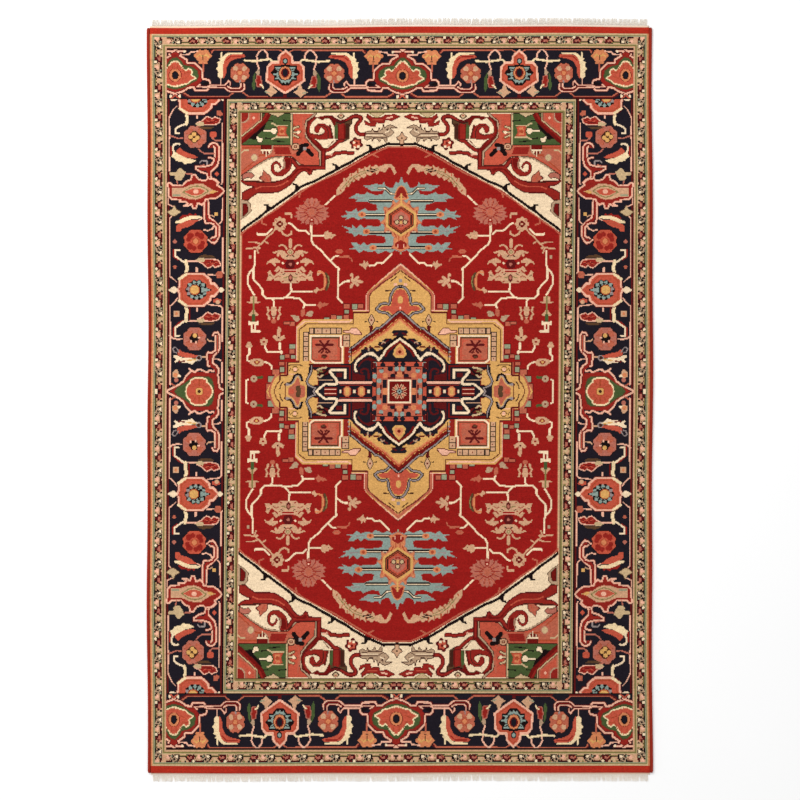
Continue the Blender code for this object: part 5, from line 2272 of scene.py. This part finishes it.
class Fringe:
    """The warp ends: a narrow web and loose tassels of a few strands each."""

    pitch = 0.0152
    web = 0.008
    reach = 0.035
    strands = 9
    tassel_width = 0.0136
    narrowing = 0.0022
    strand_radius = 0.00078

    def build(self, end: int, material: Any) -> Any:
        """Build one end's fringe.

        Args:
            end: -1 for the lower end, 1 for the upper.
            material: Its cotton.

        Returns:
            The piece.
        """
        node = "lower_fringe" if end < 0 else "upper_fringe"
        half = HALF_WIDTH - 0.0123
        rows, faces = [], []
        self.weave_web(rows, faces, half)
        count = int(2 * half // self.pitch)
        first = -(count - 1) / 2 * self.pitch
        for tassel in range(count):
            for strand in range(self.strands):
                self.twist_strand(rows, faces, first + tassel * self.pitch, tassel, strand)
        mesh = bpy.data.meshes.new(node + "_ends")
        p = np.array(rows)
        p[:, 1] *= end
        x, y = wander(p[:, 0], p[:, 1])
        p[:, 0] = x
        p[:, 1] = y
        order = faces if end > 0 else [face[::-1] for face in faces]
        mesh.from_pydata(p.tolist(), [], order)
        piece = bpy.data.objects.new(node + "_ends", mesh)
        bpy.context.scene.collection.objects.link(piece)
        mesh.materials.append(material)
        mesh.shade_smooth()
        return attach(piece, node)

    def weave_web(self, rows: List, faces: List, half: float) -> None:
        """Add the web between the pile and the tassels.

        Args:
            rows: The points so far.
            faces: The faces so far.
            half: Half the web's width.
        """
        steps = 240
        across = 6
        for side in (1, -1):
            base = len(rows)
            for i in range(steps + 1):
                x = -half + 2 * half * i / steps
                for k in range(across + 1):
                    y = HALF_LENGTH + 0.0003 + (self.web - 0.0003) * k / across
                    fall = 0.0019 - 0.0004 * k / across
                    z = fall + 0.0001 * math.cos(i * math.pi) if side > 0 else 0.0002
                    rows.append((x, y, z))
            wide = across + 1
            for i in range(steps):
                for k in range(across):
                    a = base + i * wide + k
                    quad = (a, a + wide, a + wide + 1, a + 1)
                    faces.append(quad if side > 0 else quad[::-1])
            if side > 0:
                top = base
        under = base
        wide = across + 1
        for i in range(steps):
            a, b = top + i * wide, under + i * wide
            faces.append((a, b, b + wide, a + wide))
            a, b = top + i * wide + across, under + i * wide + across
            faces.append((a, a + wide, b + wide, b))
        for i in (0, steps):
            for k in range(across):
                a, b = top + i * wide + k, under + i * wide + k
                quad = (a, a + 1, b + 1, b)
                faces.append(quad if i == 0 else quad[::-1])

    def twist_strand(self, rows: List, faces: List, middle: float, tassel: int, strand: int) -> None:
        """Add one warp end, which tapers and leans as it lies on the floor.

        Args:
            rows: The points so far.
            faces: The faces so far.
            middle: The tassel's middle.
            tassel: The tassel's number.
            strand: The strand's number in it.
        """
        a = float(hash_noise(np.float64(tassel), np.float64(strand), 1.0))
        b = float(hash_noise(np.float64(strand), np.float64(tassel), 3.0))
        lean = (float(hash_noise(np.float64(tassel), np.float64(9), 4.0)) - 0.5) * 0.006
        spread = (strand / (self.strands - 1) - 0.5)
        length = (self.reach - self.web) * (0.80 + 0.18 * a)
        steps, sides = 5, 4
        base = len(rows)
        for i in range(steps + 1):
            t = i / steps
            x = middle + spread * (self.tassel_width - self.narrowing * t)
            x = x + lean * t * t + 0.0016 * (b - 0.5) * t
            x += 0.0005 * math.sin(6 * t + 5 * a)
            y = HALF_LENGTH + self.web - 0.0008 + length * t
            z = 0.00095 + 0.00045 * math.sin(3 * t + 6 * b) * (1 - t * 0.5)
            r = self.strand_radius * (1 - 0.45 * t)
            for s in range(sides):
                turn = 2 * math.pi * (s + 0.5) / sides + t * 2.0
                rows.append((x + r * math.cos(turn), y, max(0.0001, z + r * math.sin(turn))))
        for i in range(steps):
            for s in range(sides):
                p = base + i * sides + s
                q = base + i * sides + (s + 1) % sides
                faces.append((p, p + sides, q + sides, q))
        faces.append(tuple(base + s for s in range(sides)))
        faces.append(tuple(base + steps * sides + s for s in reversed(range(sides))))


class Rug:
    """The whole rug, zone by zone."""

    def __init__(self) -> None:
        """Draw the design and make the finishes."""
        self.cartoon = Cartoon()
        self.label = self.cartoon.zones.label
        self.wool = PileFinish("knotted_wool").make()
        self.back = BackFinish().make()
        self.red_cord = YarnFinish("red_cord", (152, 42, 25), 120.0, (1.0, 8.0, 1.0)).make()
        self.cotton = YarnFinish(
            "cotton_ends", (244, 234, 220), 500.0, (3.0, 0.4, 1.0), 0.3, (243, 214, 180)).make()

    def zone(self, kind: Zone, side: int = 0, end: int = 0) -> Callable[..., np.ndarray]:
        """Give the test for a zone's knots.

        Args:
            kind: The zone.
            side: -1 or 1 to keep one side's columns only.
            end: -1 or 1 to keep one end's rows only.

        Returns:
            A function of columns and rows.
        """

        def test(columns: np.ndarray, rows: np.ndarray) -> np.ndarray:
            """Tell which knots are in the zone."""
            across = np.where(columns >= 0, columns, -1 - columns)
            along = np.where(rows >= 0, rows, -1 - rows)
            held = self.label[along, across] == kind
            if side:
                held &= (columns >= 0) == (side > 0)
            if end:
                held &= (rows >= 0) == (end > 0)
            return held

        return test

    def build(self) -> List[Any]:
        """Build every piece.

        Returns:
            The pieces that lie on the foundation.
        """
        pile = PilePiece(self.cartoon, self.wool)
        everything = self.everything
        pieces = []
        for end, name in ((-1, "lower"), (1, "upper")):
            pieces.append(pile.build(
                name + "_end_band", self.strip(296, 434, 442, end), everything, "end_band_wool"))
            pieces.append(pile.build(
                name + "_outer_guard", self.strip(296, 415, 434, end), everything,
                "outer_guard_wool"))
            pieces.append(pile.build(
                name + "_main_border", self.strip(277, 353, 415, end), everything,
                "main_border_wool"))
            pieces.append(pile.build(
                name + "_inner_guard", self.strip(209, 335, 353, end), everything,
                "inner_guard_wool"))
            low, high = sorted((0, end * 335))
            pieces.append(pile.build(
                name + "_field", Patch(-190, low, 190, high), self.zone(Zone.FIELD), "field_wool"))
            for side, hand in ((-1, "left"), (1, "right")):
                left, right = sorted((0, side * 190))
                low, high = sorted((end * 170, end * 335))
                pieces.append(pile.build(
                    f"{name}_{hand}_spandrel", Patch(left, low, right, high),
                    self.zone(Zone.SPANDREL), "spandrel_wool"))
        for side, hand in ((-1, "left"), (1, "right")):
            for label, first, last, half in (
                ("outer_guard", 277, 296, 415), ("main_border", 209, 277, 353),
                ("inner_guard", 190, 209, 335),
            ):
                left, right = sorted((side * first, side * last))
                pieces.append(pile.build(
                    f"{hand}_{label}", Patch(left, -half, right, half), everything,
                    label + "_wool"))
            pieces.append(Selvedge().build(side, self.red_cord))
        pieces.append(pile.build(
            "medallion", Patch(-159, -155, 159, 155), self.zone(Zone.MEDALLION), "medallion_wool"))
        for end in (-1, 1):
            pieces.append(Fringe().build(end, self.cotton))
        return pieces

    @staticmethod
    def strip(half: int, first: int, last: int, end: int) -> Patch:
        """Give the patch of a strip across one end."""
        low, high = sorted((end * first, end * last))
        return Patch(-half, low, half, high)

    @staticmethod
    def everything(columns: np.ndarray, rows: np.ndarray) -> np.ndarray:
        """Keep every knot."""
        return np.ones(len(columns), bool)


@dataclass
class Studio:
    """A pale floor, soft light and a camera straight above.

    Attributes:
        seen: How much of the floor the camera sees from side to side.
        height: How far above the floor the camera is.
    """

    seen: float = 2.896
    height: float = 12.0

    def build(self) -> None:
        """Build the floor, the lights and the camera."""
        self.lay_floor()
        self.light()
        self.aim()

    def lay_floor(self) -> None:
        """Lay a plain pale floor."""
        bpy.ops.object.select_all(action="DESELECT")
        bpy.ops.mesh.primitive_plane_add(size=60, location=(0, 0, -0.0004))
        floor = sole("floor")
        bpy.ops.object.transform_apply(location=True, rotation=True, scale=True)
        m = Sheet("floor_paint")
        grain = m.noise(3.0, detail=2.0)
        colour = m.toned((1.0, 1.0, 1.0, 1), 0.995 + (grain - 0.5) * 0.01)
        floor.data.materials.append(m.finish(colour, 0.95, None, 0.0, glow=0.1))

    def light(self) -> None:
        """Light the room evenly, with a soft lamp from one side for relief."""
        world = bpy.context.scene.world or bpy.data.worlds.new("room")
        bpy.context.scene.world = world
        world.use_nodes = True
        ground = world.node_tree.nodes["Background"]
        ground.inputs["Color"].default_value = (1.0, 1.0, 1.0, 1)
        ground.inputs["Strength"].default_value = 0.66
        bpy.ops.object.light_add(type="AREA", location=(-3.2, 3.0, 4.5))
        lamp = bpy.context.object
        lamp.name = "soft_lamp"
        lamp.data.energy = 215
        lamp.data.size = 3.0
        lamp.rotation_euler = (math.radians(-33), math.radians(-35), 0)

    def aim(self) -> None:
        """Aim the camera straight down, with the rug's upper end at the top."""
        bpy.ops.object.camera_add(location=(0, 0, self.height), rotation=(0, 0, 0))
        camera = bpy.context.object
        camera.name = "camera"
        camera.data.sensor_width = 36
        camera.data.lens = 36 * (self.height - PILE_TOP) / self.seen
        camera.data.clip_end = 100
        bpy.context.scene.camera = camera
        bpy.context.scene.view_settings.view_transform = "Standard"


def main() -> None:
    """Build the rug in its room."""
    logging.basicConfig(level=logging.INFO, format="%(name)s: %(message)s")
    rug = Rug()
    pieces = rug.build()
    cloth = Foundation().build(rug.cartoon, rug.back)
    Studio().build()


if __name__ == "__main__":
    main()
